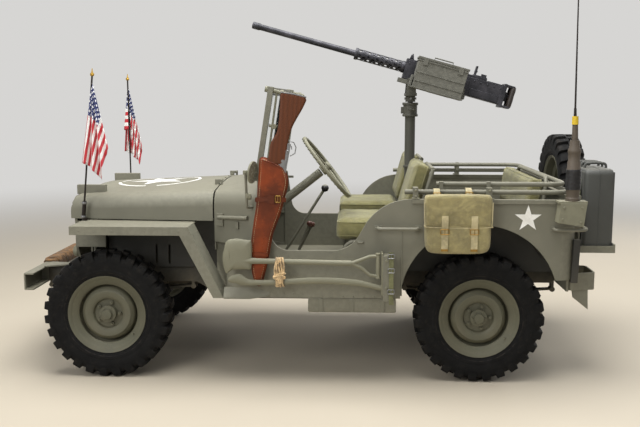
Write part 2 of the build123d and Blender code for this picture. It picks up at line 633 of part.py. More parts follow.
def lamps():
    """The two head lamps: shell, rim behind the panel and a domed lens."""
    x = GRILLE_X + GRILLE_THICK
    profile = [  # x, radius
        (x + 110, 0), (x + 96, 46), (x + 40, 76), (x + 6, 80), (x + 6, 94), (x, 94), (x, 82),
        (x - 8, 78), (x - 16, 50), (x - 19, 0),
    ]
    lamp = revolve(make_face(Polyline(*profile, close=True)), axis=Axis.X)
    return Compound([Pos(0, y, LAMP_Z) * lamp for y in (-LAMP_Y, LAMP_Y)])


FENDER_FRONT_X, FENDER_BEND_X = -172.0, 470.0
FENDER_IN = 462.0
FENDER_EDGE = 46.0
SKIRT_SLOTS = (210.0, 285.0)


def fender():
    """The left front wing: flat top with a deep edge, and the slanting rear part down to the sill."""
    top, edge_z = FENDER_TOP, FENDER_TOP - FENDER_EDGE
    half = FENDER_HALF
    section = [(-half, edge_z), (-half, top), (-FENDER_IN, top), (-FENDER_IN, top - SKIN),
               (-half + SKIN, top - SKIN), (-half + SKIN, edge_z)]
    flat = slab_x(section, FENDER_FRONT_X, FENDER_BEND_X)
    nose = block(FENDER_FRONT_X, FENDER_FRONT_X + SKIN, -half, -FENDER_IN, edge_z, top)
    slope = slab_y([(FENDER_BEND_X - 30, top), (FENDER_BEND_X, top), (656, 466), (600, 466), (FENDER_BEND_X - 46, edge_z)],
                   -half, -572)
    slope -= slab_y([(300, 900), (FENDER_BEND_X - 36, top - SKIN), (FENDER_BEND_X - 5, top - SKIN), (646, 465), (300, 465)],
                    -half + SKIN, -571)
    skirt = block(-60, 570, -400, -392, 565, top - 1)
    for x in SKIRT_SLOTS:
        skirt -= block(x, x + 12, -401, -391, 585, 694)
    shelf = block(-60, FENDER_BEND_X, -FENDER_IN - 1, -392, top - SKIN, top)
    return fuse([flat, nose, slope, skirt, shelf])


def fender_right():
    return mirror(fender(), about=Plane.XZ)


HOOD_OUTER = [  # x, half width, lowest z, shoulder z, corner radius, crown
    (HOOD_FRONT_X, 470, HOOD_EDGE_Z, 950, 60, 10), (HOOD_FRONT_X + 14, 478, HOOD_EDGE_Z, 978, 76, 16),
    (HOOD_FRONT_X + 50, 482, HOOD_EDGE_Z, 990, 80, 20), (HOOD_REAR_X, 545, HOOD_EDGE_Z, 1020, 80, 25),
]
HOOD_INNER = [
    (HOOD_FRONT_X + 8, 463, HOOD_EDGE_Z - 5, 952, 60, 14), (HOOD_FRONT_X + 50, 474, HOOD_EDGE_Z - 5, 982, 74, 20),
    (HOOD_REAR_X + 1, 537, HOOD_EDGE_Z - 5, 1012, 74, 25),
]


def hood():
    """The hood: crowned top, round shoulders, upright sides, turned-down nose and rest blocks."""
    shell = arch_loft(HOOD_OUTER) - arch_loft(HOOD_INNER)
    shell -= block(HOOD_FRONT_X - 5, HOOD_FRONT_X + 9, -463, 463, HOOD_EDGE_Z - 1, 938)
    hx, hz = HOOD_HINGE
    y0, y1 = HOOD_LUGS - 26, HOOD_LUGS - 8
    strap = block(545, 571, y0, y1, 1030, hz + 8)
    strap += block(545, hx, y0, y1, hz - 8, hz + 8) + rod((hx, y0, hz), (hx, y1, hz), 8)
    strap -= rod((hx, y0 - 5, hz), (hx, y1 + 5, hz), 4.4)
    rest = block(-238, -74, -392, -356, 985, 1038)
    return fuse([shell] + both(rest) + both(strap))


def screen_place(shape):
    """Leans a piece of the windscreen back by its rake about the folding hinge."""
    return Pos(SCREEN_HINGE[0], 0, SCREEN_HINGE[1]) * Rot(0, SCREEN_RAKE, 0) * shape


SCREEN_POST = 34.0
SCREEN_SILL = 78.0


def windscreen_frame():
    """Outer frame, sill panel, centre bar and hinge barrels of the folding windscreen."""
    frame = block(-14, 14, -SCREEN_HALF, SCREEN_HALF, 0, SCREEN_TALL)
    for side in (-1, 1):
        y0, y1 = sorted((side * 12, side * (SCREEN_HALF - SCREEN_POST)))
        frame -= block(-20, 20, y0, y1, SCREEN_SILL, SCREEN_TALL - SCREEN_POST)
    mid = sum(SCREEN_LUGS) / 2
    half = (SCREEN_LUGS[1] - SCREEN_LUGS[0]) / 2
    for side in (-1, 1):
        y = side * mid
        frame -= block(-20, 20, y - half - 11, y + half + 11, -1, 18)
        frame += rod((0, y - half - 12, 0), (0, y + half + 12, 0), 6)
        frame += block(-9, 9, y - half + 9, y + half - 9, -9, 19)
        for end in (-1, 1):
            frame += block(-6, 6, y + end * (half + 11) - 4, y + end * (half + 11) + 4, -6, 19)
    return screen_place(frame)


def windscreen_glass():
    """The two flat panes."""
    pane = block(-3, 3, -SCREEN_HALF + SCREEN_POST, -12, SCREEN_SILL, SCREEN_TALL - SCREEN_POST)
    return Compound([screen_place(p) for p in both(pane)])


MIRROR_Y = -761.5
MIRROR_R = 57.0
MIRROR_FACING = (0.955, -0.283, -0.09)


def mirror_left():
    """The round dished driving mirror on its bent arm, facing back and outwards."""
    face = Plane(origin=(826, MIRROR_Y, 1146), z_dir=MIRROR_FACING)
    rim_plane, back_plane = face.offset(-8), face.offset(-24)
    glass = extrude(rim_plane * Circle(MIRROR_R), amount=8)
    dish = loft([rim_plane * Circle(MIRROR_R - 3), back_plane * Circle(22)], ruled=True)
    arm = pipe([(811.9, -699.9, 955), (788.3, -735.4, 955), (786, MIRROR_Y, 1146), (808, MIRROR_Y + 4.5, 1147)],
               7, [14, 8])
    return fuse([glass, dish, arm])


# Seats and controls

SEAT_Y = 385.0
SEAT_HALF = 225.0
SEAT_PAN_Z = 752.0
SEAT_LEAN = 16.0
SEAT_BACK_X = 1665.0


def seat_back_point(along, ahead):
    """A point (x, z) on a front seat's back, from the distances up its tube and ahead of it."""
    lean = math.radians(SEAT_LEAN)
    x = SEAT_BACK_X + along * math.sin(lean) - ahead * math.cos(lean)
    return x, SEAT_PAN_Z + along * math.cos(lean) + ahead * math.sin(lean)


def front_seat_frame(y):
    """One front seat's tubes: legs, sides that rise into the back, top rail and pan."""
    top_x, top_z = seat_back_point(415, 0)
    pieces = []
    for side in (-1, 1):
        edge = y + side * (SEAT_HALF - 18)
        leg_z = 640.5 if edge < -TANK_IN else FLOOR_Z + 0.5
        pieces.append(pipe([(1300, edge, leg_z), (1300, edge, SEAT_PAN_Z), (SEAT_BACK_X, edge, SEAT_PAN_Z),
                            (top_x, edge, top_z)], 11, [60, 60]))
        pieces.append(rod((1560, edge, SEAT_PAN_Z), (1560, edge, leg_z), 11))
    inner = SEAT_HALF - 18
    pieces.append(block(1330, 1600, y - inner, y + inner, SEAT_PAN_Z, SEAT_PAN_Z + 11))
    pieces.append(rod((top_x, y - inner, top_z), (top_x, y + inner, top_z), 11))
    return fuse(pieces)


REAR_SEAT_HALF = 430.0


def rear_seat_frame():
    """The rear bench's pan on four legs, and its leaning back hoop."""
    y = REAR_SEAT_HALF - 20
    pieces = [block(2050, 2400, -REAR_SEAT_HALF, REAR_SEAT_HALF, 740, 750)]
    for side in (-1, 1):
        for x in (2080, 2370):
            pieces.append(rod((x, side * y, REAR_FLOOR_Z + 0.5), (x, side * y, 745), 11))
    hoop = pipe([(2385, -y, 745), (2430, -y, 1090), (2430, y, 1090), (2385, y, 745)], 11, [60, 60])
    return fuse(pieces + [hoop])


def seat_frames():
    return Compound([front_seat_frame(-SEAT_Y), front_seat_frame(SEAT_Y), rear_seat_frame()])


def pad(x0, x1, y0, y1, z0, z1, r):
    """A pad with rounded edges."""
    return fillet(block(x0, x1, y0, y1, z0, z1).edges(), r)


def seat_cushions():
    """Seat and back pads of the two front seats and of the rear bench."""
    made = []
    low_x, low_z = seat_back_point(0, 98)
    for y in (-SEAT_Y, SEAT_Y):
        made.append(pad(1250, 1640, y - SEAT_HALF, y + SEAT_HALF, SEAT_PAN_Z + 13, 880, 30))
        back = pad(0, 85, y - SEAT_HALF, y + SEAT_HALF, 124, 430, 30)
        made.append(Pos(low_x, 0, low_z) * Rot(0, SEAT_LEAN, 0) * back)
    made.append(pad(2040, 2330, -REAR_SEAT_HALF, REAR_SEAT_HALF, 751, 850, 30))
    back = pad(-90, -14, -REAR_SEAT_HALF, REAR_SEAT_HALF, 112, 340, 25)
    made.append(Pos(2385, 0, 745) * Rot(0, 7.4, 0) * back)
    return Compound(made)


def column_point(reach):
    """A point on the steering column's axis, by its distance below the wheel's hub."""
    slope = math.radians(COLUMN_SLOPE)
    return (COLUMN_HUB[0] - reach * math.cos(slope), COLUMN_Y, COLUMN_HUB[1] - reach * math.sin(slope))


LEVERS = [  # foot x, foot y, knob x, knob z, rod radius, knob radius
    (912, 0, 1175, 984, 9, 22), (1000, 50, 1076, 755, 8, 17), (1000, 82, 1090, 745, 8, 17),
]


def driver_controls():
    """Steering column, gear lever with its boot, and the two transfer levers."""
    column = rod(column_point(727), column_point(44), 24)
    made = [column]
    for foot_x, y, knob_x, knob_z, r, knob_r in LEVERS:
        lever = rod((foot_x, y, FLOOR_Z + 66), (knob_x, y, knob_z), r) + Pos(knob_x, y, knob_z) * Sphere(knob_r)
        boot = Pos(foot_x, y, FLOOR_Z + 70) * Cone(15 + r, 10 + r, 20)
        made.append(lever + boot)
    return Compound(made)


def steering_wheel():
    """A three-spoke wheel: round rim, hub and spokes, square to the column."""
    spokes = [Rot(0, 0, a) * Pos(108, 0, 0) * Box(190, 20, 8) for a in (90, 210, 330)]
    wheel = fuse([Pos(0, 0, -14) * Cylinder(30, 44), Torus(205, 11)] + spokes)
    return Pos(COLUMN_HUB[0], COLUMN_Y, COLUMN_HUB[1]) * Rot(0, 90 - COLUMN_SLOPE, 0) * wheel


# Load space

BOWS = [  # x of the open ends, x of the back, z, half width
    (1622, 2490, 1040, 690), (1790, 2470, 1080, 668),
]
BOW_R = 13.0


def top_bows():
    """The two folded top bows that lie round the load space, in their brackets."""
    pieces = []
    for x0, x1, z, half in BOWS:
        pieces.append(pipe([(x0, -half, z), (x1, -half, z), (x1, half, z), (x0, half, z)], BOW_R, 90))
    for x in (1678, 2063):
        pieces += both(block(x - 13, x + 13, -BODY_HALF, -672, TUB_TOP + 0.5, 1066))
    for x in (1815, 2063):
        pieces += both(block(x - 10, x + 10, -694, -660, 1040, 1094))
    return fuse(pieces)


def pedestal():
    """The gun's post: floor plate, flared foot, round leg, four braces and a bored head."""
    x = PEDESTAL_X
    pieces = [
        block(x - 140, x + 140, -150, 150, REAR_FLOOR_Z + 0.2, REAR_FLOOR_Z + 10),
        Pos(x, 0, REAR_FLOOR_Z + 70) * Cone(70, 34, 120),
        rod((x, 0, REAR_FLOOR_Z + 1), (x, 0, 1440), 31),
        rod((x, 0, 1425), (x, 0, 1505), 42),
    ]
    for dx, dy in ((110, -118), (110, 118), (-110, -100), (-110, 100)):
        pieces.append(rod((x + dx, dy, REAR_FLOOR_Z + 8), (x, 0, 900), 15))
    return fuse(pieces) - rod((x, 0, 1446), (x, 0, 1506), 16.4)


def gun_yoke():
    """The swivel that turns in the post, with the two cheeks that hold the gun's trunnions."""
    x = PEDESTAL_X
    pieces = [
        rod((x, 0, 1450), (x, 0, 1512), 16), rod((x, 0, 1510), (x, 0, 1550), 30),
        block(x - 34, x + 34, -70, 70, 1545, 1562),
    ]
    cheek = slab_y([(x - 30, 1560), (x - 22, TRUNNION_Z + 26), (x + 22, TRUNNION_Z + 26), (x + 30, 1560)], -70, -58)
    pieces += both(cheek)
    return fuse(pieces) - rod((x, -80, TRUNNION_Z), (x, 80, TRUNNION_Z), 9.8)


def gun_place(shape):
    """Moves a piece made level, with its trunnion at the origin, to its place on the yoke."""
    return Pos(PEDESTAL_X, 0, TRUNNION_Z) * Rot(0, GUN_ELEVATION, 0) * shape


BORE_Z = 78.0


def gun():
    """The mounted gun's outer form as closed solids with no works inside."""
    pieces = [
        block(-60, 545, -52, 52, 10, 138), block(540, 556, -60, 60, -4, 142),
        rod((-1010, 0, BORE_Z), (-360, 0, BORE_Z), 19), rod((-370, 0, BORE_Z), (-58, 0, BORE_Z), 33),
    ]
    pieces += both(rod((596, -42, 6), (596, -42, 134), 15))
    pieces += [block(552, 604, -58, 58, z, z + 12) for z in (2, 126)]
    return gun_place(fuse(pieces))


def gun_cradle():
    """The tray under the gun with its trunnion pins, and the ammunition box on its left."""
    pieces = [
        block(-80, 330, -50, 50, -14, 10), block(105, 240, -80, -45, -30, 8),
        block(-10, 300, -230, -75, -30, -22), block(0, 290, -225, -75, -23, 150),
    ]
    pieces += both(rod((0, -73, 0), (0, -49, 0), 9.5))
    return gun_place(fuse(pieces))


# Fittings

def jerrycan():
    """A pressed steel fuel can standing in its cradle, with its three handles."""
    pieces = [pad(2603, 2772, -532, -188, 700.5, 1150, 34)]
    for y in (-430, -360, -290):
        pieces.append(pipe([(2630, y, 1145), (2630, y, 1174), (2745, y, 1174), (2745, y, 1145)], 8, 14))
    return fuse(pieces)


def antenna():
    """The aerial: corner bracket, stacked mast base and whip."""
    y = -HUNG_Y + 36
    bracket = slab_y([(2412, 1008), (2546, 1008), (2546, 998), (2532, 876), (2400, 896), (2412, 998)],
                     -HUNG_Y, -BODY_HALF - 7)
    return fuse([
        bracket, rod((2478, y, 1007), (2478, y, 1320), 34), rod((2478, y, 1318), (2474, y, 1440), 16),
        rod((2474, y, 1430), (2462, y, 2350), 5),
    ])


SCABBARD = [  # x, z
    (868, 1225), (990, 1172), (1010, 1100), (975, 960), (925, 820), (880, 600), (852, 540), (818, 600),
    (812, 760), (842, 960),
]
STOCK = [(878, 1223), (950, 1370), (975, 1562), (1106, 1536), (1036, 1376), (985, 1177)]


def scabbard():
    """The leather scabbard that hangs on the left side, narrowing to its toe."""
    return slab_y(SCABBARD, -784, -BODY_HALF - 7, 16)


def rifle_stock():
    """The stock that stands out of the scabbard, as one wooden form."""
    return slab_y(STOCK, -783, -749, 8)


SHOVEL = [(662, 690), (690, 792), (740, 802), (818, 790), (815, 640), (714, 634), (676, 612)]  # x, z
AXE = [  # x, z of the curved handle's upper and lower edge, from its flared end
    (692, 592), (727, 612), (762, 609), (803, 583), (914, 582), (1039, 590), (1211, 597), (1314, 593),
    (1403, 581), (1503, 556),
    (1503, 527), (1403, 548), (1314, 558), (1211, 563), (1038, 557), (900, 552), (810, 551), (734, 562),
    (697, 570),
]


def pioneer_tools():
    """The shovel, with its forked grip, and the axe's handle in their clips along the left side."""
    y = -HUNG_Y + 16
    pieces = [rod((800, y, 682), (1362, y, 674), 14), slab_y(SHOVEL, y - 6, y + 6, 6)]
    for z in (714, 606):
        pieces.append(rod((1352, y, 674), (1480, y, z), 9))
    pieces.append(rod((1482, y, 724), (1482, y, 598), 11))
    return Compound([fuse(pieces), slab_y(AXE, y - 12, y + 12)])


def bag():
    """The canvas shoulder bag that hangs on the left side."""
    return pad(1722, 2066, -HUNG_Y, -BODY_HALF - 8, 724, 1038, 30)


STAFFS = [(-520.0, -166.0, -85.0), (520.0, -174.0, -177.0)]  # y, x at the wing, x of the top
STAFF_TOP_Z = 1660.0
STAFF_FOOT_X, STAFF_FOOT_R = -157.0, 14.9


def staff_point(staff, z):
    """A point on a staff's axis."""
    y, x, top_x = staff
    return x + (top_x - x) * (z - FENDER_TOP) / (STAFF_TOP_Z - FENDER_TOP), y, z


def flag_staffs():
    """The two flag staffs that stand on the front wings, the left one leaning back a little."""
    pieces = []
    for staff in STAFFS:
        low, high = staff_point(staff, FENDER_TOP + 14), staff_point(staff, STAFF_TOP_Z)
        foot = Pos(STAFF_FOOT_X, staff[0], FENDER_TOP + 8.1) * Cylinder(STAFF_FOOT_R, 15.8)
        socket = rod(low, staff_point(staff, FENDER_TOP + 110), 11)
        pieces.append(fuse([foot, socket, rod(low, high, 5), Pos(*high) * Sphere(11)]))
    return Compound(pieces)


FLAG_LEVELS = [  # for each staff: z, then first and last x and y from its axis
    [(1618, 6, 15, -6, 6), (1475, 8, 52, -20, 14), (1293, 8, 103, -46, 14), (1180, 8, 131, -62, 14),
     (1145, 8, 133, -62, 14), (1080, 100, 124, -50, 10)],
    [(1612, -5, 5, 7, 18), (1500, -12, 28, 7, 40), (1393, -25, 43, 7, 60), (1241, -34, 70, 7, 76),
     (1172, -42, 76, 7, 84), (1110, -42, -20, 20, 70)],
]


def flags():
    """The two small flags, hanging in folds from the tops of their staffs."""
    made = []
    for staff, levels in zip(STAFFS, FLAG_LEVELS):
        faces = []
        for z, x0, x1, y0, y1 in levels:
            flat = Pos((x0 + x1) / 2, (y0 + y1) / 2, 0) * Rectangle(x1 - x0, y1 - y0)
            faces.append(Pos(*staff_point(staff, z)) * flat)
        made.append(fuse([loft([a, b], ruled=True) for a, b in zip(faces, faces[1:])]))
    return Compound(made)


ROAD_WHEELS = [  # name, x, side
    ("front_left", 0.0, -1), ("front_right", 0.0, 1),
    ("rear_left", WHEELBASE, -1), ("rear_right", WHEELBASE, 1),
]


def build():
    """Every piece by its node name."""
    pieces = {
        "chassis_frame": chassis_frame(), "front_bumper": front_bumper(), "rear_bumpers": rear_bumpers(),
        "bumper_rope": bumper_rope(), "leaf_springs": leaf_springs(),
        "axle_front": axle_front(), "axle_rear": axle_rear(), "tie_rod": tie_rod(),
        "knuckle_left": knuckle(-1), "knuckle_right": knuckle(1),
        "engine_block": engine_block(), "drivetrain": drivetrain(), "exhaust": exhaust(),
        "side_left": side_left(), "side_right": side_right(), "wheel_wells": wheel_wells(),
        "rear_panel": rear_panel(), "floor_pan": floor_pan(), "fuel_tank": fuel_tank(),
        "cowl": cowl(), "grille": grille(), "lamps": lamps(),
        "fender_left": fender(), "fender_right": fender_right(), "hood": hood(),
        "windscreen_frame": windscreen_frame(), "windscreen_glass": windscreen_glass(),
        "mirror_left": mirror_left(), "seat_frames": seat_frames(), "seat_cushions": seat_cushions(),
        "driver_controls": driver_controls(), "steering_wheel": steering_wheel(),
        "top_bows": top_bows(), "pedestal": pedestal(), "gun_yoke": gun_yoke(),
        "gun_cradle": gun_cradle(), "gun": gun(), "jerrycan": jerrycan(),
        "spare_tyre": spare(tyre()), "spare_rim": spare(rim(with_drum=False)),
        "antenna": antenna(), "scabbard": scabbard(), "rifle_stock": rifle_stock(),
        "pioneer_tools": pioneer_tools(), "bag": bag(),
        "flag_staffs": flag_staffs(), "flags": flags(),
    }
    for name, x, side in ROAD_WHEELS:
        pieces[f"tyre_{name}"] = road_wheel(tyre(), x, side)
        pieces[f"rim_{name}"] = road_wheel(rim(), x, side)
    return pieces


def export(pieces):
    os.makedirs("parts", exist_ok=True)
    for name, shape in pieces.items():
        export_step(Pos(-ORIGIN_X, 0, 0) * shape, f"parts/{name}.step")


if __name__ == "__main__":
    export(build())
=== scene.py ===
import math

import bmesh
import bpy
from mathutils import Matrix, Vector
from mathutils.bvhtree import BVHTree

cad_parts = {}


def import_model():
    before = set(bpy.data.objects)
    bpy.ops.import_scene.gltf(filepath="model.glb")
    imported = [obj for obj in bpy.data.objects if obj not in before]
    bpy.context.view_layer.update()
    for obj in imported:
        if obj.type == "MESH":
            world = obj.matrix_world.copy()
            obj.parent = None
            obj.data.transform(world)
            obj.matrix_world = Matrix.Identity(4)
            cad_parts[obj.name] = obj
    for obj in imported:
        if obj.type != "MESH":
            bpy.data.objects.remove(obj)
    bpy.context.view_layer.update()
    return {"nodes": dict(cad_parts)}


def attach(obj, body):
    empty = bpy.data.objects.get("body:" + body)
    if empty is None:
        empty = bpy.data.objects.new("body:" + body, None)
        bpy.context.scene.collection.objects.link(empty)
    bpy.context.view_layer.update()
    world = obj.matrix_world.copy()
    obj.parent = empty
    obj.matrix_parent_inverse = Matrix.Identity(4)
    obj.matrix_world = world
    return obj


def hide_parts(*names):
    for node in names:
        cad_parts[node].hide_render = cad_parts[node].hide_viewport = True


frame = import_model()

# The looks of the army 4x4 car, built round its solids.
# Places are in millimetres from the ground under the front axle: +X rearwards, +Z up, the left side at -Y.
ORIGIN_X = 1137.5
WHEELBASE = 2032.0
TRACK_HALF = 622.5
WHEEL_Z = 352.0
BODY_HALF = 735.0
SIDES = (("left", -1), ("right", 1))


def at(x, y, z):
    """A place in the frame, in metres, from millimetres measured from the front axle."""
    return Vector(((x - ORIGIN_X) / 1000, y / 1000, z / 1000))


def turn(degrees, axis):
    return Matrix.Rotation(math.radians(degrees), 4, axis)


def shift(x, y, z):
    return Matrix.Translation((x, y, z))


def setup(target, **values):
    """Sets several attributes of one thing, and gives it back."""
    for name, value in values.items():
        setattr(target, name, value)
    return target


def in_scene(name, data):
    """A new object in the scene for a mesh, a light or a camera."""
    obj = bpy.data.objects.new(name, data)
    bpy.context.scene.collection.objects.link(obj)
    return obj


# Lines and outlines


def smooth_path(points, steps, closed=False):
    """Points on a Catmull-Rom curve through the given points."""
    pts = [Vector(p) for p in points]
    count = len(pts)
    made = []
    for i in range(count if closed else count - 1):
        if closed:
            a, b, c, d = (pts[(i + k) % count] for k in (-1, 0, 1, 2))
        else:
            a, b, c, d = (pts[min(max(i + k, 0), count - 1)] for k in (-1, 0, 1, 2))
        for k in range(steps):
            t = k / steps
            made.append(0.5 * (2 * b + (c - a) * t + (2 * a - 5 * b + 4 * c - d) * t * t
                               + (3 * b - a - 3 * c + d) * t ** 3))
    return made if closed else made + [pts[-1]]


def path_frames(path, closed=False):
    """At each point of a path: the point and two directions square to the path, without twist."""
    count = len(path)
    side = None
    made = []
    for i in range(count):
        if closed:
            ahead, behind = path[(i + 1) % count], path[i - 1]
        else:
            ahead, behind = path[min(i + 1, count - 1)], path[max(i - 1, 0)]
        tangent = (ahead - behind).normalized()
        side = side or tangent.orthogonal().normalized()
        side = (side - tangent * side.dot(tangent)).normalized()
        made.append((path[i], side, tangent.cross(side)))
    return made


def circle(count, start=0.0):
    """Cosines and sines of angles spaced evenly round a circle."""
    angles = [start + 2 * math.pi * i / count for i in range(count)]
    return [(math.cos(a), math.sin(a)) for a in angles]


def round_rectangle(x0, x1, z0, z1, r, steps=5):
    """Points (x, z) round a rectangle with rounded corners."""
    made = []
    middles = ((x1 - r, z1 - r), (x0 + r, z1 - r), (x0 + r, z0 + r), (x1 - r, z0 + r))
    for quarter, (cx, cz) in enumerate(middles):
        for k in range(steps):
            a = math.radians(90 * quarter + 90 * k / (steps - 1))
            made.append((cx + r * math.cos(a), cz + r * math.sin(a)))
    return made


def even_loop(corners, count):
    """Points spaced evenly round a closed line of 2-D points."""
    loop = [Vector(p) for p in corners] + [Vector(corners[0])]
    lengths = [(b - a).length for a, b in zip(loop, loop[1:])]
    made, i, before = [], 0, 0.0
    for k in range(count):
        want = sum(lengths) * k / count
        while before + lengths[i] < want:
            before += lengths[i]
            i += 1
        made.append(loop[i].lerp(loop[i + 1], (want - before) / max(lengths[i], 1e-9)))
    return made


def inset(outline, amount):
    """A closed (x, z) outline moved inwards by an amount."""
    area = sum(a[0] * b[1] - b[0] * a[1] for a, b in zip(outline, outline[1:] + outline[:1]))
    side = math.copysign(amount, area)
    made = []
    for i, (x, z) in enumerate(outline):
        (ax, az), (cx, cz) = outline[i - 1], outline[(i + 1) % len(outline)]
        size = math.hypot(cx - ax, cz - az) or 1
        made.append((x - side * (cz - az) / size, z + side * (cx - ax) / size))
    return made


def rounded(points, steps=5):
    """A smooth closed (x, z) outline through points."""
    return [(p.x, p.y) for p in smooth_path([(x, z, 0) for x, z in points], steps, closed=True)]


def shrunk(outline, amount):
    """A closed (x, z) outline drawn towards its middle by an amount."""
    xs, zs = [p[0] for p in outline], [p[1] for p in outline]
    mid_x, mid_z = (min(xs) + max(xs)) / 2, (min(zs) + max(zs)) / 2
    fx, fz = 1 - 2 * amount / (max(xs) - min(xs)), 1 - 2 * amount / (max(zs) - min(zs))
    return [(mid_x + (x - mid_x) * fx, mid_z + (z - mid_z) * fz) for x, z in outline]


def grid_faces(rows, columns):
    starts = [i * columns + k for i in range(rows - 1) for k in range(columns - 1)]
    return [(a, a + 1, a + columns + 1, a + columns) for a in starts]


ROPE_STRAND = 0.14
MERGE = 1e-6
SHARP = 38.0
BEVEL_ANGLE = 32


class Shape:
    """Points and faces gathered in car millimetres, then made into one object."""

    def __init__(self):
        self.points = []
        self.faces = []

    def add(self, points, faces, place=None):
        start = len(self.points)
        self.points += [place @ Vector(p) if place else Vector(p) for p in points]
        self.faces += [[start + i for i in face] for face in faces]

    def block(self, lo, hi, place=None):
        corners = [(x, y, z) for x in (lo[0], hi[0]) for y in (lo[1], hi[1]) for z in (lo[2], hi[2])]
        faces = [(0, 1, 3, 2), (4, 6, 7, 5), (0, 4, 5, 1), (2, 3, 7, 6), (0, 2, 6, 4), (1, 5, 7, 3)]
        self.add(corners, faces, place)

    def blocks(self, rows, place=None):
        """Blocks from rows of six numbers: one corner and the opposite one."""
        for row in rows:
            self.block(row[:3], row[3:], place)

    def loft(self, rings, closed=False, caps=True, place=None, wrap=True):
        """Faces between rings of equally many points; closed joins the last ring to the first."""
        n, count = len(rings[0]), len(rings)
        faces = []
        for i in range(count if closed else count - 1):
            j = (i + 1) % count
            faces += [(i * n + k, i * n + (k + 1) % n, j * n + (k + 1) % n, j * n + k)
                      for k in range(n if wrap else n - 1)]
        if caps and not closed:
            faces += [tuple(range(n))[::-1], tuple(range((count - 1) * n, count * n))]
        self.add([p for ring in rings for p in ring], faces, place)

    def prism(self, outline, y0, y1, place=None):
        """An outline of (x, z) points between two values of y."""
        self.loft([[(x, y, z) for x, z in outline] for y in (y0, y1)], place=place)

    def rod(self, start, end, radius, end_radius=None, sides=16, place=None):
        self.tube([start, end], [radius, radius if end_radius is None else end_radius], sides, place=place)

    def rods(self, rows, place=None):
        """Rods from rows of numbers: both ends, the radius, the end's radius and the sides."""
        for row in rows:
            self.rod(row[:3], row[3:6], *row[6:], place=place)

    def tube(self, path, radius, sides=10, closed=False, lobes=0, lobe_turn=0.0, place=None):
        """A tube along a path. With lobes it is a rope whose strands turn as it goes."""
        path = [place @ Vector(p) if place else Vector(p) for p in path]
        rings = []
        travel = 0.0
        for i, (p, a, b) in enumerate(path_frames(path, closed)):
            travel += (p - path[i - 1]).length if i else 0.0
            r = radius[i] if isinstance(radius, (list, tuple)) else radius
            ring = []
            for k in range(sides):
                angle = 2 * math.pi * k / sides
                grow = 1 + ROPE_STRAND * math.cos(lobes * (angle - travel * lobe_turn)) if lobes else 1
                ring.append(p + (a * math.cos(angle) + b * math.sin(angle)) * r * grow)
            rings.append(ring)
        self.loft(rings, closed)

    def lathe(self, profile, place, steps=48):
        """A profile of (radius, along) turned about the local Z axis, closed where it starts off the axis."""
        rings = [[(r * c, r * s, z) for r, z in profile] for c, s in circle(steps)]
        self.loft(rings, closed=True, wrap=profile[0][0] > 0, place=place)

    def sheet(self, rows, thick, out):
        """A grid of points given a thickness towards the direction out."""
        nv, nu = len(rows), len(rows[0])
        front = [Vector(p) for row in rows for p in row]
        back = [p - Vector(out) * thick for p in front]
        faces = []
        for quad in grid_faces(nv, nu):
            faces += [quad, tuple(q + nv * nu for q in quad[::-1])]
        rim = list(range(nu)) + [i * nu + nu - 1 for i in range(1, nv)]
        rim += [(nv - 1) * nu + k for k in range(nu - 2, -1, -1)] + [i * nu for i in range(nv - 2, 0, -1)]
        faces += [(a, b, b + nv * nu, a + nv * nu) for a, b in zip(rim, rim[1:] + rim[:1])]
        self.add(front + back, faces)

    def cushion(self, outline, levels, wave=None, smaller=inset):
        """A soft-edged form from its outline. Levels are (y, inset), and wave(x, z) moves the last ones in y."""
        levels = levels + [(levels[-1][0], levels[-1][1] + 2)]
        rings = []
        for i, (y, amount) in enumerate(levels):
            share = i / (len(levels) - 1)
            line = smaller(outline, amount)
            rings.append([(x, y + (wave(x, z) * share if wave else 0), z) for x, z in line])
        self.loft(rings)

    def strip(self, path, width, thick, across=(1, 0, 0)):
        """A flat strap along a path: across is the direction of its width."""
        across = Vector(across) * (width / 2)
        path = [Vector(p) for p in path]
        ahead = (path[-1] - path[0]).normalized()
        self.sheet([[p - across, p, p + across] for p in path], thick, across.cross(ahead).normalized())

    def buckle(self, centre, width, high, wire=2.4):
        """A wire buckle in the X-Z plane with its tongue."""
        x, y, z = centre
        line = round_rectangle(-width / 2, width / 2, -high / 2, high / 2, 5, 4)
        self.tube([(x + a, y, z + b) for a, b in line], wire, 8, closed=True)
        self.rod((x, y - 1, z + high / 2), (x, y - 1.5, z - high / 2 - 2), wire * 0.7, sides=8)

    def bolts(self, places, out, radius=6.0, high=4.0, sides=6):
        """Bolt or rivet heads at places, standing up towards out."""
        out = Vector(out)
        for p in places:
            self.rod(Vector(p) - out, Vector(p) + out * high, radius, radius * 0.8, sides)

    def make(self, name, look, bevel=0.0, slot="olive_paint", body="chassis", node=None, finer=0,
             sharp=SHARP):
        """Makes one object of what was gathered, and starts afresh."""
        mesh = bpy.data.meshes.new(name)
        mesh.from_pydata([at(*p) for p in self.points], [], self.faces)
        self.__init__()
        bm = bmesh.new()
        bm.from_mesh(mesh)
        bmesh.ops.remove_doubles(bm, verts=bm.verts, dist=MERGE)
        bmesh.ops.dissolve_degenerate(bm, dist=MERGE, edges=bm.edges)
        bmesh.ops.recalc_face_normals(bm, faces=bm.faces)
        for face in bm.faces:
            face.smooth = True
        if not bevel:
            for edge in bm.edges:
                edge.smooth = edge.calc_face_angle(0.0) < math.radians(sharp)
        bm.to_mesh(mesh)
        bm.free()
        obj = in_scene(name, mesh)
        if bevel:
            setup(obj.modifiers.new("edges", "BEVEL"), width=bevel / 1000, segments=2, limit_method="ANGLE",
                  angle_limit=math.radians(BEVEL_ANGLE))
            obj.modifiers.new("normals", "WEIGHTED_NORMAL")
        if finer:
            setup(obj.modifiers.new("finer", "SUBSURF"), levels=finer, render_levels=finer)
        return finish(obj, look, body, node)


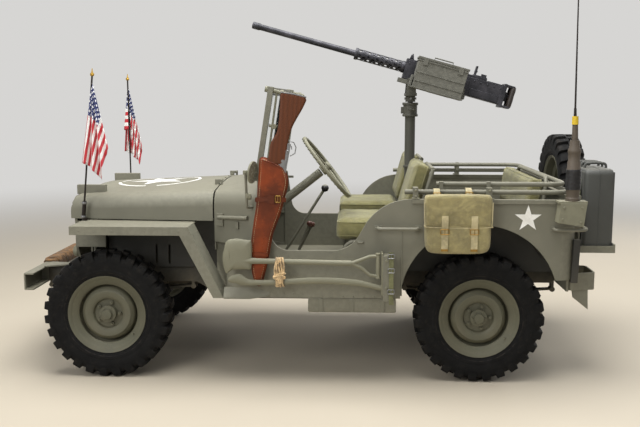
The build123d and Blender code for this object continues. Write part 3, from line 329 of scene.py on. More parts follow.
def finish(obj, look, body="chassis", node=None):
    """Gives a piece its material and the body it rides on, and hides the solid that it stands for."""
    obj.data.materials.clear()
    obj.data.materials.append(M[look])
    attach(obj, body)
    if node:
        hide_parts(node)
    return obj


# Materials


def linear(r, g, b):
    """A colour written as it shows on a screen, 0 to 255, in the renderer's own terms."""
    levels = [((c / 255 + 0.055) / 1.055) ** 2.4 if c > 10 else c / 255 / 12.92 for c in (r, g, b)]
    return (*levels, 1.0)


def shade(tone, share=1.0, more=0.0):
    """A tone made lighter or darker."""
    return linear(*[c * share + more for c in tone])


MIX_INPUTS, MIX_OUTPUT = (0, 6, 7), 2  # factor and both colours, and the mixed colour


class Finish:
    """A material's node tree, with short calls for the nodes that the finishes share."""

    def __init__(self, name, roughness, metallic=0.0, **plain):
        self.material = bpy.data.materials.new(name)
        self.material.use_nodes = True
        self.tree = self.material.node_tree
        self.shader = self.tree.nodes["Principled BSDF"]
        for socket, value in dict(plain, Roughness=roughness, Metallic=metallic).items():
            self.put(self.shader.inputs[socket.replace("_", " ")], value)
        self.place = self.node("TexCoord").outputs["Object"]

    def put(self, target, value):
        """Sets a socket to a plain value, or links another socket to it."""
        if isinstance(value, (int, float, tuple)):
            target.default_value = value
        else:
            self.tree.links.new(value, target)

    def node(self, kind, inputs=(), **settings):
        """A node with its settings, and its inputs as plain values or sockets."""
        made = setup(self.tree.nodes.new("ShaderNode" + kind), **settings)
        for socket, value in dict(inputs).items():
            self.put(made.inputs[socket], value)
        return made

    def noise(self, scale, detail=3.0, place=None, rough=0.55):
        inputs = {"Scale": scale, "Detail": detail, "Roughness": rough, "Vector": place or self.place}
        return self.node("TexNoise", inputs).outputs["Fac"]

    def steps(self, value, low, high):
        """0 below low, 1 above high, smooth between."""
        inputs = {"From Min": low, "From Max": high, "Value": value}
        return self.node("MapRange", inputs, interpolation_type="SMOOTHSTEP").outputs["Result"]

    def patch(self, scale, detail, low, high, share=None, rough=0.55):
        """Uneven patches: noise cut to 0 below low and to 1 above high, of a share in strength."""
        made = self.steps(self.noise(scale, detail, rough=rough), low, high)
        return self.times(made, share) if share else made

    def maths(self, operation, a, b=0.0):
        return self.node("Math", {0: a, 1: b}, operation=operation).outputs[0]

    def times(self, a, b):
        return self.maths("MULTIPLY", a, b)

    def mix(self, factor, a, b):
        made = self.node("Mix", zip(MIX_INPUTS, (factor, a, b)), data_type="RGBA")
        return made.outputs[MIX_OUTPUT]

    def colour(self, source):
        self.put(self.shader.inputs["Base Color"], source)

    def roughness(self, value, low, high):
        made = self.node("MapRange", {"To Min": low, "To Max": high, "Value": value})
        self.put(self.shader.inputs["Roughness"], made.outputs["Result"])

    def bump(self, height, depth, edge=0.0):
        """Bump of a depth in metres, on edges rounded by a radius in metres."""
        made = self.node("Bump", {"Distance": depth, "Height": height})
        if edge:
            self.put(made.inputs["Normal"], self.node("Bevel", {"Radius": edge}, samples=4).outputs["Normal"])
        self.put(self.shader.inputs["Normal"], made.outputs["Normal"])

    def axes(self, source=None):
        """X, Y and Z of a vector, or of the place on the car."""
        return self.node("SeparateXYZ", {0: source or self.place}).outputs

    def worn_edges(self, low, high, share):
        """High on outer edges and corners."""
        return self.times(self.steps(self.node("NewGeometry").outputs["Pointiness"], low, high), share)

    def weave(self, pitch):
        """Crossing threads of the given pitch in metres, on a surface that faces any way."""
        waves = [self.maths("SINE", self.times(axis, 2 * math.pi / pitch)) for axis in self.axes()]
        pairs = [self.times(waves[i], waves[(i + 1) % 3]) for i in range(3)]
        return self.maths("ADD", self.maths("ADD", pairs[0], pairs[1]), pairs[2])


DUST = (150, 138, 112)
# Near-black colour of the painted shadow inside the wheel arches and under the wings.
ARCH_SHADOW = (14, 13, 12)


def painted(name, tone, wear, dirt, roughness=0.62, shadow_zone=None):
    """Matt vehicle paint: faded in patches, rubbed on its edges and dusty where it faces up or lies low.

    A painted shadow, nearly black, darkens what lies on one side of a distance from the car's middle and below a
    height, in metres: the shade inside the wheel arches and on the skirts under the wings.
    """
    f = Finish(name, roughness)
    faded = shade(tone, 1.07, 4)
    colour = f.mix(f.patch(2.6, 4.0, 0.36, 0.68), shade(tone, 0.94), shade(tone))
    colour = f.mix(f.patch(9.0, 5.0, 0.42, 0.80, 0.30), colour, faded)
    colour = f.mix(f.patch(160.0, 2.0, 0.55, 0.75, 0.10), colour, faded)
    rubbed = f.times(f.worn_edges(0.54, 0.62, wear), f.patch(40.0, 4.0, 0.38, 0.62))
    colour = f.mix(rubbed, colour, shade(tone, 1.20, 14))
    _, across, up = f.axes()
    low = f.maths("SUBTRACT", 1.0, f.steps(up, 0.18, 0.75))
    low_dust = f.times(f.times(low, f.patch(6.0, 6.0, 0.30, 0.85)), dirt)
    facing = f.axes(f.node("NewGeometry").outputs["Normal"])["Z"]
    dust = f.maths("ADD", low_dust, f.times(f.steps(facing, 0.6, 1.0), 0.10))
    colour = f.mix(dust, colour, linear(*DUST))
    # Painted shadow: this mask darkens the skirts under the wings and the insides of the wheel arches.
    if shadow_zone:
        way, reach, top = shadow_zone
        beside = f.maths(way, f.maths("ABSOLUTE", across), reach)
        colour = f.mix(f.times(f.times(beside, f.maths("LESS_THAN", up, top)), 0.88), colour, linear(*ARCH_SHADOW))
    f.colour(colour)
    f.roughness(f.noise(24.0, 4.0), roughness - 0.09, roughness + 0.10)
    f.bump(f.noise(420.0, 2.0), 0.00025, 0.0025)
    return f.material


def gun_black():
    f = Finish("gun_metal", 0.4, 0.55)
    colour = f.mix(f.patch(14.0, 5.0, 0.4, 0.7), linear(48, 48, 52), linear(72, 71, 76))
    f.colour(f.mix(f.worn_edges(0.58, 0.68, 0.3), colour, linear(128, 126, 124)))
    f.roughness(f.noise(60.0, 4.0), 0.34, 0.52)
    f.bump(f.noise(600.0, 2.0), 0.0001, 0.0015)
    return f.material


def steel(name, tone, roughness):
    f = Finish(name, roughness, 0.9)
    f.colour(f.mix(f.noise(50.0, 5.0), shade(tone, 0.75), shade(tone)))
    f.roughness(f.noise(90.0, 3.0), roughness - 0.06, roughness + 0.12)
    return f.material


def rubber():
    """Black tyre rubber, greyer on the side walls and dusty brown on the tread."""
    f = Finish("tyre_rubber", 0.8, Specular_IOR_Level=0.2)
    colour = f.mix(f.patch(18.0, 5.0, 0.35, 0.7), linear(8, 8, 8), linear(15, 15, 15))
    worn = f.times(f.worn_edges(0.50, 0.60, 0.4), f.patch(26.0, 5.0, 0.42, 0.66))
    colour = f.mix(worn, colour, linear(64, 58, 51))
    f.colour(f.mix(f.patch(45.0, 6.0, 0.52, 0.78, 0.10), colour, linear(80, 73, 62)))
    f.roughness(f.noise(35.0, 4.0), 0.66, 0.92)
    f.bump(f.noise(240.0, 4.0), 0.0006)
    return f.material


def canvas(name, tone, pitch, crease, sheen=0.25):
    """Woven cotton with threads, soft creases and uneven fading."""
    f = Finish(name, 0.88, Sheen_Weight=sheen)
    light = shade(tone, 1.08, 4)
    colour = f.mix(f.patch(9.0, 5.0, 0.32, 0.72), shade(tone, 0.80), shade(tone))
    colour = f.mix(f.patch(38.0, 4.0, 0.45, 0.75, 0.6), colour, light)
    threads = f.weave(pitch)
    f.colour(f.mix(f.times(f.steps(threads, -0.4, 0.9), 0.22), colour, light))
    f.bump(f.maths("ADD", f.times(threads, 0.0006), f.times(f.noise(14.0, 3.0), crease)), 1.0)
    return f.material


def leather(name, tone, roughness=0.42):
    """Oiled hide: fine grain, darker folds and dark worn edges."""
    f = Finish(name, roughness, Specular_IOR_Level=0.25)
    colour = f.mix(f.patch(7.0, 6.0, 0.34, 0.70), shade(tone, 0.66), shade(tone))
    colour = f.mix(f.patch(30.0, 6.0, 0.5, 0.8, 0.4, rough=0.7), colour, shade(tone, 1.18, 8))
    f.colour(f.mix(f.worn_edges(0.52, 0.62, 0.5), colour, shade(tone, 0.5)))
    grain = f.node("TexVoronoi", {"Vector": f.place}, feature="DISTANCE_TO_EDGE")
    grain.inputs["Scale"].default_value = 420.0
    f.roughness(f.noise(26.0, 5.0), roughness - 0.10, roughness + 0.18)
    folds = f.times(f.noise(60.0, 4.0), 0.0006)
    f.bump(f.maths("ADD", f.times(grain.outputs["Distance"], 0.0008), folds), 1.0)
    return f.material


def wood(name, tone, lean, stretch, roughness=0.45):
    """Oiled wood whose grain runs along a direction that leans from the vertical."""
    f = Finish(name, roughness, Specular_IOR_Level=0.25)
    mapping = {"Scale": stretch, "Rotation": (0, math.radians(lean), 0), "Vector": f.place}
    along = f.node("Mapping", mapping).outputs["Vector"]
    grain = {"Scale": 1.6, "Distortion": 5.0, "Detail": 4.0, "Vector": along}
    wave = f.node("TexWave", grain, wave_type="BANDS", bands_direction="X").outputs["Fac"]
    colour = f.mix(f.times(wave, 0.35), shade(tone), shade(tone, 0.62))
    f.colour(f.mix(f.times(f.noise(6.0, 6.0, along), 0.6), colour, shade(tone, 0.7, 6)))
    f.roughness(f.noise(18.0, 4.0, along), roughness - 0.1, roughness + 0.15)
    f.bump(wave, 0.0003, 0.001)
    return f.material


def hemp(name, tone):
    f = Finish(name, 0.92, Sheen_Weight=0.2)
    fibres = f.noise(260.0, 5.0)
    colour = f.mix(f.patch(30.0, 4.0, 0.35, 0.7), shade(tone, 0.62), shade(tone))
    f.colour(f.mix(f.times(f.steps(fibres, 0.5, 0.75), 0.5), colour, shade(tone, 1.2, 10)))
    f.bump(fibres, 0.0012)
    return f.material


def plain(name, tone, roughness, metallic=0.0):
    """One colour with a slight mottle, for small trim."""
    f = Finish(name, roughness, metallic)
    f.colour(f.mix(f.noise(45.0, 4.0), shade(tone, 0.86), shade(tone)))
    f.roughness(f.noise(80.0, 3.0), roughness - 0.08, roughness + 0.1)
    return f.material


def glass(name, tone, roughness=0.02):
    f = Finish(name, roughness, Transmission_Weight=1.0, IOR=1.45)
    f.colour(f.mix(f.noise(3.0, 2.0), shade(tone), linear(*[min(c * 1.04, 255) for c in tone])))
    return f.material


def white_paint():
    """Stencilled marking paint, slightly worn so that the olive shows in it."""
    f = Finish("marking_white", 0.6)
    worn = f.patch(120.0, 6.0, 0.60, 0.74, 0.7, rough=0.7)
    colour = f.mix(f.patch(20.0, 4.0, 0.3, 0.7), linear(222, 220, 212), linear(240, 239, 234))
    f.colour(f.mix(worn, colour, linear(128, 127, 110)))
    f.bump(f.noise(400.0, 2.0), 0.0002)
    return f.material


STRIPES = 13
CANTON_HIGH = 7 / 13
CANTON_LONG = 0.42
STAR_ROWS = 9
STAR_COLUMNS = 11


def striped_cloth():
    """Red and white stripes with a blue corner of small white stars, laid by the cloth's own weave."""
    f = Finish("flag_cloth", 0.8, Sheen_Weight=0.15)
    along, up, _ = f.axes(f.node("TexCoord").outputs["UV"])
    down = f.maths("SUBTRACT", 1.0, up)
    band = f.maths("MODULO", f.maths("FLOOR", f.times(down, STRIPES)), 2.0)
    cloth = f.mix(band, linear(190, 36, 48), linear(236, 234, 230))
    column = f.times(along, STAR_COLUMNS / CANTON_LONG)
    row = f.times(down, STAR_ROWS / CANTON_HIGH)
    odd = f.maths("MODULO", f.maths("ADD", f.maths("FLOOR", column), f.maths("FLOOR", row)), 2.0)
    dx, dy = (f.maths("SUBTRACT", f.maths("FRACT", value), 0.5) for value in (column, row))
    away = f.maths("SQRT", f.maths("ADD", f.times(dx, dx), f.times(dy, dy)))
    spot = f.times(f.maths("LESS_THAN", away, 0.40), f.maths("LESS_THAN", odd, 0.5))
    corner = f.mix(spot, linear(38, 48, 98), linear(232, 232, 234))
    inside = f.times(f.maths("LESS_THAN", along, CANTON_LONG), f.maths("LESS_THAN", down, CANTON_HIGH))
    f.colour(f.mix(inside, cloth, corner))
    f.bump(f.times(f.weave(0.0018), 0.0002), 1.0)
    return f.material


OLIVE = (113, 111, 96)
M = {
    "olive": painted("olive_paint", OLIVE, 0.14, 0.14),
    # The wing and arch paints carry a painted shadow where the wheel arches lie in shade.
    "wing_olive": painted("wing_paint", OLIVE, 0.14, 0.14, shadow_zone=("LESS_THAN", 0.405, 0.8385)),
    "arch_olive": painted("arch_paint", OLIVE, 0.14, 0.14, shadow_zone=("GREATER_THAN", 0.505, 0.885)),
    "light_olive": painted("olive_fittings", (120, 118, 98), 0.30, 0.12),
    "dark_olive": painted("can_paint", (72, 73, 69), 0.30, 0.12),
    "box_olive": painted("box_paint", (92, 91, 82), 0.30, 0.12),
    "post_olive": painted("post_paint", (72, 71, 62), 0.25, 0.12),
    "wheel_olive": painted("wheel_paint", (84, 83, 66), 0.20, 0.16),
    "chassis": painted("chassis_paint", (44, 43, 38), 0.25, 0.65, 0.7),
    "gun": gun_black(),
    "steel": steel("bare_steel", (150, 150, 150), 0.35),
    "brass": steel("brass", (176, 140, 74), 0.4),
    "rubber": rubber(),
    "seat": canvas("seat_canvas", (138, 132, 82), 0.0030, 0.004),
    "bag": canvas("bag_canvas", (168, 155, 104), 0.0026, 0.006),
    "bag_low": canvas("bag_lower_canvas", (174, 161, 110), 0.0026, 0.009),
    "webbing": canvas("webbing", (208, 194, 150), 0.0040, 0.001, 0.1),
    "green_webbing": canvas("green_webbing", (122, 122, 84), 0.0040, 0.001, 0.1),
    "rope": hemp("rope", (126, 92, 54)),
    "pale_rope": hemp("pale_rope", (222, 190, 142)),
    "leather": leather("tan_leather", (132, 56, 18)),
    # The mirror's glass is a flat pale olive: a painted reflection of what the mirror shows.
    "mirror": plain("mirror_glass", (122, 119, 102), 0.25),
    "brown": plain("brown_knob", (96, 56, 44), 0.4),
    "stock": wood("stock_wood", (96, 50, 24), -14.0, (9.0, 60.0, 1.6)),
    "dark_wood": plain("grip_wood", (44, 36, 30), 0.5),
    "flag": striped_cloth(),
    "staff": plain("staff_metal", (46, 40, 36), 0.35, 0.7),
    "gold": steel("gilt", (196, 158, 70), 0.28),
    "glass": glass("window_glass", (236, 242, 236)),
    "lamp_glass": glass("lamp_glass", (250, 250, 246), 0.05),
    "white": white_paint(),
    "black": plain("black_trim", (26, 26, 27), 0.55),
    "yellow": plain("yellow_band", (222, 188, 40), 0.5),
    "red": plain("red_lens", (136, 22, 18), 0.2),
    "ceramic": plain("mast_base", (86, 76, 64), 0.6),
    "dial": plain("dial_face", (34, 33, 30), 0.4),
}

ROAD_WHEELS = [  # name, x, side
    ("front_left", 0.0, -1), ("front_right", 0.0, 1),
    ("rear_left", WHEELBASE, -1), ("rear_right", WHEELBASE, 1),
]
NODE_FINISH = {
    "wing_olive": ["fender_left", "fender_right"],
    "arch_olive": ["wheel_wells"],
    "olive": ["side_left", "side_right", "rear_panel", "cowl", "grille", "hood", "windscreen_frame",
              "mirror_left", "top_bows", "front_bumper", "rear_bumpers", "seat_frames", "fuel_tank",
              "floor_pan", "driver_controls"],
    "light_olive": ["pioneer_tools", "steering_wheel"],
    "box_olive": ["gun_cradle"],
    "post_olive": ["pedestal", "gun_yoke"],
    "dark_olive": ["jerrycan"],
    "wheel_olive": ["spare_rim"] + [f"rim_{name}" for name, _, _ in ROAD_WHEELS],
    "chassis": ["chassis_frame", "leaf_springs", "axle_front", "axle_rear", "tie_rod", "knuckle_left",
                "knuckle_right", "engine_block", "drivetrain", "exhaust"],
    "gun": ["gun"],
    "rubber": ["spare_tyre"] + [f"tyre_{name}" for name, _, _ in ROAD_WHEELS],
    "ceramic": ["antenna"],
    "seat": ["seat_cushions"], "bag": ["bag"], "rope": ["bumper_rope"], "flag": ["flags"],
    "leather": ["scabbard"], "stock": ["rifle_stock"], "glass": ["windscreen_glass"], "steel": ["lamps"],
    "staff": ["flag_staffs"],
}
WELD_DISTANCE = 0.00002
SPLIT_ANGLE = 34


def dress_nodes():
    """Gives each solid its finish, and smooth shading that breaks at its real edges."""
    for look, names in NODE_FINISH.items():
        for name in names:
            obj = frame["nodes"][name]
            mesh = obj.data
            mesh.materials.clear()
            mesh.materials.append(M[look])
            if "custom_normal" in mesh.attributes:
                mesh.attributes.remove(mesh.attributes["custom_normal"])
            mesh.polygons.foreach_set("use_smooth", [True] * len(mesh.polygons))
            mesh.polygons.foreach_set("material_index", [0] * len(mesh.polygons))
            obj.modifiers.new("joined", "WELD").merge_threshold = WELD_DISTANCE
            obj.modifiers.new("edges", "EDGE_SPLIT").split_angle = math.radians(SPLIT_ANGLE)


# Wheels

LUGS = 27
LUG_TURN = 180.0 / LUGS
TYRE_WALL = [  # radius, distance from the tyre's middle
    (205.5, 56), (212, 61), (224, 67), (234, 70), (236, 72.5), (250, 75), (253, 73.5), (270, 77), (288, 78),
    (302, 77), (314, 75), (324, 70), (330, 62), (333, 48), (334, 24),
]
LUG_LINE = [  # distance from the middle, radius of the top, radius of the foot, half width
    (-5, 351.5, 328, 17), (34, 351.5, 328, 19), (62, 350.5, 326, 21), (74, 344, 318, 21),
    (79.5, 330, 310, 20), (79.8, 306, 296, 17),
]
LUG_SKEW = 2.0
SPARE_PLACE = shift(2690, 330, 952) @ turn(90, "Z")


def wheel(name, body, place, node, turned_about=False):
    """A wheel's bar-lug tyre, with its ribs and staggered lugs, and the detail of its hub."""
    s = Shape()
    s.lathe(TYRE_WALL + [(334, 0)] + [(r, -y) for r, y in TYRE_WALL[::-1]], place @ turn(-90, "X"), 90)
    for side in (-1, 1):
        late = (side < 0) != turned_about
        for i in range(LUGS):
            centre = (2 * i + (1.5 if late else 0.5)) * LUG_TURN - 90
            rings = []
            for y, top, foot, half in LUG_LINE:
                lean = math.radians(centre + LUG_SKEW * (y / 80) * side)
                ring = []
                for r, share in ((foot, -1.2), (top, -1), (top, 1), (foot, 1.2)):
                    a = lean + half * share / r
                    ring.append((r * math.cos(a), side * y, r * math.sin(a)))
                rings.append(ring)
            s.loft(rings, place=place)
    s.make(f"tread_{name}", "rubber", 2.2, "tyre_rubber", body, node)
    for count, row in ((6, (36, -49, 0, 36, -54, 0, 6, None, 6)), (5, (62, -33, 0, 62, -43, 0, 5))):
        for i in range(count):
            s.rods([row], place @ turn(360 / count * i, "Y"))
    s.rod((184, -36, 0), (176, -62, 0), 4, place=place @ turn(38, "Y"))
    band = [(198, 57), (180, 46), (165, 37), (163, 34), (163, 26), (167, 29), (196, 49)]
    s.lathe(band, place @ turn(90, "X"), 72)
    s.make(f"hub_detail_{name}", "wheel_olive", body=body, sharp=30)


def wheels():
    for name, x, side in ROAD_WHEELS:
        place = shift(x, side * TRACK_HALF, WHEEL_Z)
        if side > 0:
            place = place @ turn(180, "Z")
        wheel(name, f"wheel_{name}", place, f"tyre_{name}", side > 0)
    wheel("spare", "chassis", SPARE_PLACE, "spare_tyre")


# Seats

SEAT_Y = 385.0
BENCH_HALF = 426.0
BACK_PLACE = shift(1570.8, 0, 779) @ turn(16, "Y")
PADS = [(f"seat_pad_{name}", (1253, side * SEAT_Y - 222, 768), (1637, side * SEAT_Y + 222, 874), Matrix())
        for name, side in SIDES]
PADS += [(f"seat_back_pad_{name}", (4, side * SEAT_Y - 221, 128), (81, side * SEAT_Y + 221, 428), BACK_PLACE)
         for name, side in SIDES]
PADS += [
    ("bench_pad", (2044, -BENCH_HALF, 754), (2326, BENCH_HALF, 845), Matrix()),
    ("bench_back_pad", (-88, -BENCH_HALF, 115), (-18, BENCH_HALF, 337), shift(2385, 0, 745) @ turn(7.4, "Y")),
]
PAD_VOXEL = 0.007
PAD_SWELL = 0.009
CLOTH_FRAMES = 20
PIPING_CORNER = 30
PIPING_R = 3.4


def apply_modifiers(obj):
    """Replaces the object's mesh by what its modifiers make of it."""
    graph = bpy.context.evaluated_depsgraph_get()
    made = bpy.data.meshes.new_from_object(obj.evaluated_get(graph))
    obj.modifiers.clear()
    obj.data = made


def pad_object(name, lo, hi, place):
    """A stuffed pad: a rounded block blown up as cloth, its swelling capped, then smoothed."""
    s = Shape()
    s.block(lo, hi, place)
    mesh = bpy.data.meshes.new(name)
    mesh.from_pydata([at(*p) for p in s.points], [], s.faces)
    obj = in_scene(name, mesh)
    thick = min(hi[i] - lo[i] for i in range(3)) / 1000
    setup(obj.modifiers.new("round", "BEVEL"), width=thick * 0.24, segments=3)
    setup(obj.modifiers.new("remesh", "REMESH"), mode="VOXEL", voxel_size=PAD_VOXEL)
    apply_modifiers(obj)
    rest = [v.co.copy() for v in obj.data.vertices]
    cloth = obj.modifiers.new("cloth", "CLOTH")
    setup(cloth.settings, use_pressure=True, uniform_pressure_force=4.0, tension_stiffness=12,
          compression_stiffness=12)
    cloth.settings.effector_weights.gravity = 0.0
    setup(cloth.point_cache, frame_start=1, frame_end=CLOTH_FRAMES)
    for number in range(1, CLOTH_FRAMES + 1):
        bpy.context.scene.frame_set(number)
    apply_modifiers(obj)
    bpy.context.scene.frame_set(1)
    for v, start in zip(obj.data.vertices, rest):
        move = v.co - start
        if move.length > PAD_SWELL:
            v.co = start + move.normalized() * PAD_SWELL
    obj.data.polygons.foreach_set("use_smooth", [True] * len(obj.data.polygons))
    obj.modifiers.new("soft", "SMOOTH").iterations = 3
    return obj


def piping(s, lo, hi, place, level, pad):
    """A sewn cord round a pad at one height, laid on the pad's own surface."""
    tree = BVHTree.FromObject(pad, bpy.context.evaluated_depsgraph_get())
    loop = [Vector((x, y, level)) for x, y in round_rectangle(lo[0], hi[0], lo[1], hi[1], PIPING_CORNER)]
    path = []
    for a, b in zip(loop, loop[1:] + loop[:1]):
        count = max(1, int((b - a).length / 18))
        for k in range(count):
            hit = tree.find_nearest(at(*(place @ a.lerp(b, k / count))))[0] * 1000
            path.append((hit.x + ORIGIN_X, hit.y, hit.z))
    s.tube(path, PIPING_R, 8, closed=True)


def seats():
    """Canvas pads with piped seams on the seats and the rear bench."""
    seams = Shape()
    upright = Matrix(((0, 0, 1, 0), (0, 1, 0, 0), (1, 0, 0, 0), (0, 0, 0, 1)))
    for name, lo, hi, place in PADS:
        pad = finish(pad_object(name, lo, hi, place), "seat", node="seat_cushions")
        low_gap = 12
        if "back" in name:
            lo, hi, place, low_gap = lo[::-1], hi[::-1], place @ upright, 10
        for level in (lo[2] + low_gap, hi[2] - 10):
            piping(seams, lo, hi, place, level, pad)
    seams.make("seat_piping", "seat", slot="seat_canvas")


# Ropes

BUMPER = (-485.0, -433.0, 468.0, 563.0)  # front, back, bottom, top of the beam
ROPE_LAYERS = ((275.0, 8.2, 7.4), (243.0, 17.0, 6.4))  # half width, distance from the beam, radius
LASH_X = 966.0
LASH_R = 5.0
TOOL_Y = -802.0


def bumper_rope():
    """Brown rope wound tight round the bumper, with a second, looser layer in front."""
    s = Shape()
    x0, x1, z0, z1 = BUMPER
    for layer, (half, grow, radius) in enumerate(ROPE_LAYERS):
        turns = int(2 * half / (2.02 * radius))
        loop = even_loop(round_rectangle(x0 - grow, x1 + grow, z0 - grow, z1 + grow, grow + 2), 30)
        path = []
        for i in range(turns * len(loop) + 1):
            x, z = loop[i % len(loop)]
            wander = 2.2 * math.sin(i * 0.093 + layer) if layer else 0.8 * math.sin(i * 0.071)
            path.append((x, -half + 2 * half * i / (turns * len(loop)) + wander, z))
        s.tube(path, radius, 9, lobes=3, lobe_turn=0.11)
    s.make("rope_turns", "rope", slot="rope", node="bumper_rope", sharp=180)


def tie_rope():
    """Pale rope that lashes the shovel and the axe together."""
    s = Shape()
    loops = []
    for k, (dx, grow) in enumerate(((-20, 4), (-10, 5), (0, 4), (10, 5), (20, 4))):
        loop = even_loop(round_rectangle(TOOL_Y - 16 - grow, TOOL_Y + 15, 552 - grow, 696 + grow, 15), 26)
        loops.append([(LASH_X + dx + 5 * math.sin(i * 0.6 + k), y, z) for i, (y, z) in enumerate(loop)])
    for k, z in enumerate((600, 612)):
        loops.append([(LASH_X + 30 * math.cos(a), TOOL_Y - 20 - 3 * math.sin(2 * a), z + 10 * math.sin(a + k))
                      for a in [2 * math.pi * i / 18 for i in range(18)]])
    for loop in loops:
        s.tube(loop, LASH_R, 9, closed=True, lobes=3, lobe_turn=0.14)
    s.make("tool_lashing", "pale_rope", slot="rope", sharp=180)


# Flags

FLAG_LONG, FLAG_HIGH = 0.457, 0.305
FLAG_THICK = 0.0012
STAFFS = {-1: (-166.0, -85.0), 1: (-174.0, -177.0)}  # x at the wing and x of the top, by side
STAFF_LOW_Z, STAFF_TOP_Z = 850.0, 1660.0
STAFF_Y = 520.0
HOIST_TOP_Z = 1628.0
FLAG_COLUMNS, FLAG_ROWS = 60, 44
# A flag hangs from its top corner as a folded cone. Each row is a direction down from that corner, in
# degrees: along the car, then outwards from it, from the flag's top edge round to the edge on the staff.
FLAG_FOLDS = {
    -1: [(-8, 3), (-5, 8), (-2, 2.5), (1, 8), (4, 2.5), (7, 8), (10, 3), (13, 5.5), (12, 0.5), (9, -1.5),
         (6, 1.5), (3, -1.5), (0, 1.5), (-3, -1.5), (-5, 0.8), (-5.7, 0)],
    1: [(-5, 2), (-3.5, 5.5), (-1.5, 1.6), (0.5, 5.5), (2.5, 1), (4.5, 5.5), (6.5, 1.5), (8.5, 6), (10.3, 3),
        (9.5, 7), (7, 9), (4.5, 7), (2.5, 9.3), (0.5, 7), (-2, 8), (-5.8, 6), (-7, 2), (-5, -0.6), (-2, -0.8),
        (0.2, 0)],
}


def staff_x(side, z):
    low_x, top_x = STAFFS[side]
    return low_x + (top_x - low_x) * (z - STAFF_LOW_Z) / (STAFF_TOP_Z - STAFF_LOW_Z)


def fold_directions(side, count=180):
    """Directions down from a flag's top corner, spaced evenly from its top edge to its hoist."""
    rays = []
    for along, out, _ in smooth_path([(a, b, 0) for a, b in FLAG_FOLDS[side]], 12):
        ray = Vector((math.tan(math.radians(along)), side * math.tan(math.radians(out)), -1))
        rays.append(ray.normalized())
    reach = [0.0]
    for a, b in zip(rays, rays[1:]):
        reach.append(reach[-1] + a.angle(b))
    made, i = [], 0
    for k in range(count + 1):
        want = reach[-1] * k / count
        while i < len(rays) - 2 and reach[i + 1] < want:
            i += 1
        made.append(rays[i].lerp(rays[i + 1], (want - reach[i]) / (reach[i + 1] - reach[i])).normalized())
    return made


def flag(name, side):
    """A small flag that hangs in deep folds from its staff in still air."""
    rays = fold_directions(side)
    corner = Vector((staff_x(side, HOIST_TOP_Z), side * STAFF_Y, HOIST_TOP_Z))
    points = []
    for j in range(FLAG_ROWS + 1):
        down = FLAG_HIGH * 1000 * j / FLAG_ROWS
        for i in range(FLAG_COLUMNS + 1):
            along = FLAG_LONG * 1000 * i / FLAG_COLUMNS
            share = math.atan2(down, along) / (math.pi / 2) * (len(rays) - 1)
            k = min(int(share), len(rays) - 2)
            points.append(at(*(corner + rays[k].lerp(rays[k + 1], share - k) * math.hypot(along, down))))
    mesh = bpy.data.meshes.new(name)
    mesh.from_pydata(points, [], grid_faces(FLAG_ROWS + 1, FLAG_COLUMNS + 1))
    layer = mesh.uv_layers.new(name="weave")
    for loop in mesh.loops:
        j, i = divmod(loop.vertex_index, FLAG_COLUMNS + 1)
        layer.data[loop.index].uv = (i / FLAG_COLUMNS, 1 - j / FLAG_ROWS)
    mesh.polygons.foreach_set("use_smooth", [True] * len(mesh.polygons))
    obj = in_scene(name, mesh)
    setup(obj.modifiers.new("thick", "SOLIDIFY"), thickness=FLAG_THICK, offset=0)
    return finish(obj, "flag", node="flags")


def flags():
    """Both flags, with the gilt tips and the clamps of their staffs."""
    s = Shape()
    for name, side in SIDES:
        cloth = flag(f"flag_{name}", side)
        y, tip_x = side * STAFF_Y, STAFFS[side][1]
        s.rod((tip_x, y, 1664), (tip_x + 1, y, 1694), 6, 1.5, 12)
        s.lathe([(0, -12), (9, -8), (12, 0), (9, 8), (0, 12)], shift(tip_x, y, 1660), 20)
        s.make(f"staff_tip_{name}", "gold", slot="staff_metal")
        for z, r in ((872, 14), (950, 13.5)):
            s.lathe([(0, -6), (r, -6), (r + 1.5, 0), (r, 6), (0, 6)], shift(staff_x(side, z), y, z), 20)
        s.rod((staff_x(side, 950), y - 19, 950), (staff_x(side, 950), y + 19, 950), 4, sides=10)
        s.make(f"staff_clamps_{name}", "steel", slot="staff_metal")


# Fittings on the left side

BAG_BODY = [(1728, 1020), (1800, 1031), (1990, 1033), (2056, 1022), (2063, 930), (2066, 820), (2058, 752),
            (2020, 729), (1900, 725), (1775, 728), (1733, 750), (1723, 820), (1726, 930)]
BAG_FLAP = [(1722, 1022), (1760, 1035), (1900, 1038), (2030, 1036), (2066, 1022), (2069, 950), (2067, 882),
            (2058, 869), (1900, 864), (1734, 869), (1722, 882), (1719, 950)]
BAG_STRAPS = (1824.0, 1976.0)
BAG_HANGERS = [(1786.0, 1046.0, -706.0), (1952.0, 1050.0, -700.0)]  # x, z of the top, y where it ends


def bag_wave(x, z):
    """The sag and creases of the bag's outer face, in millimetres outwards (towards -Y)."""
    sag = -3.0 * math.sin((z - 724) / 100) + 2.4 * math.sin(x * 0.031 + z * 0.011)
    return sag + 1.6 * math.sin(x * 0.013 - z * 0.047) + 1.1 * math.sin(x * 0.074 + z * 0.052)


def flap_wave(x, z):
    return 1.6 * math.sin(x * 0.024 + 0.8) + 1.2 * math.sin(x * 0.011 - z * 0.05) + 0.6 * math.sin(z * 0.09)


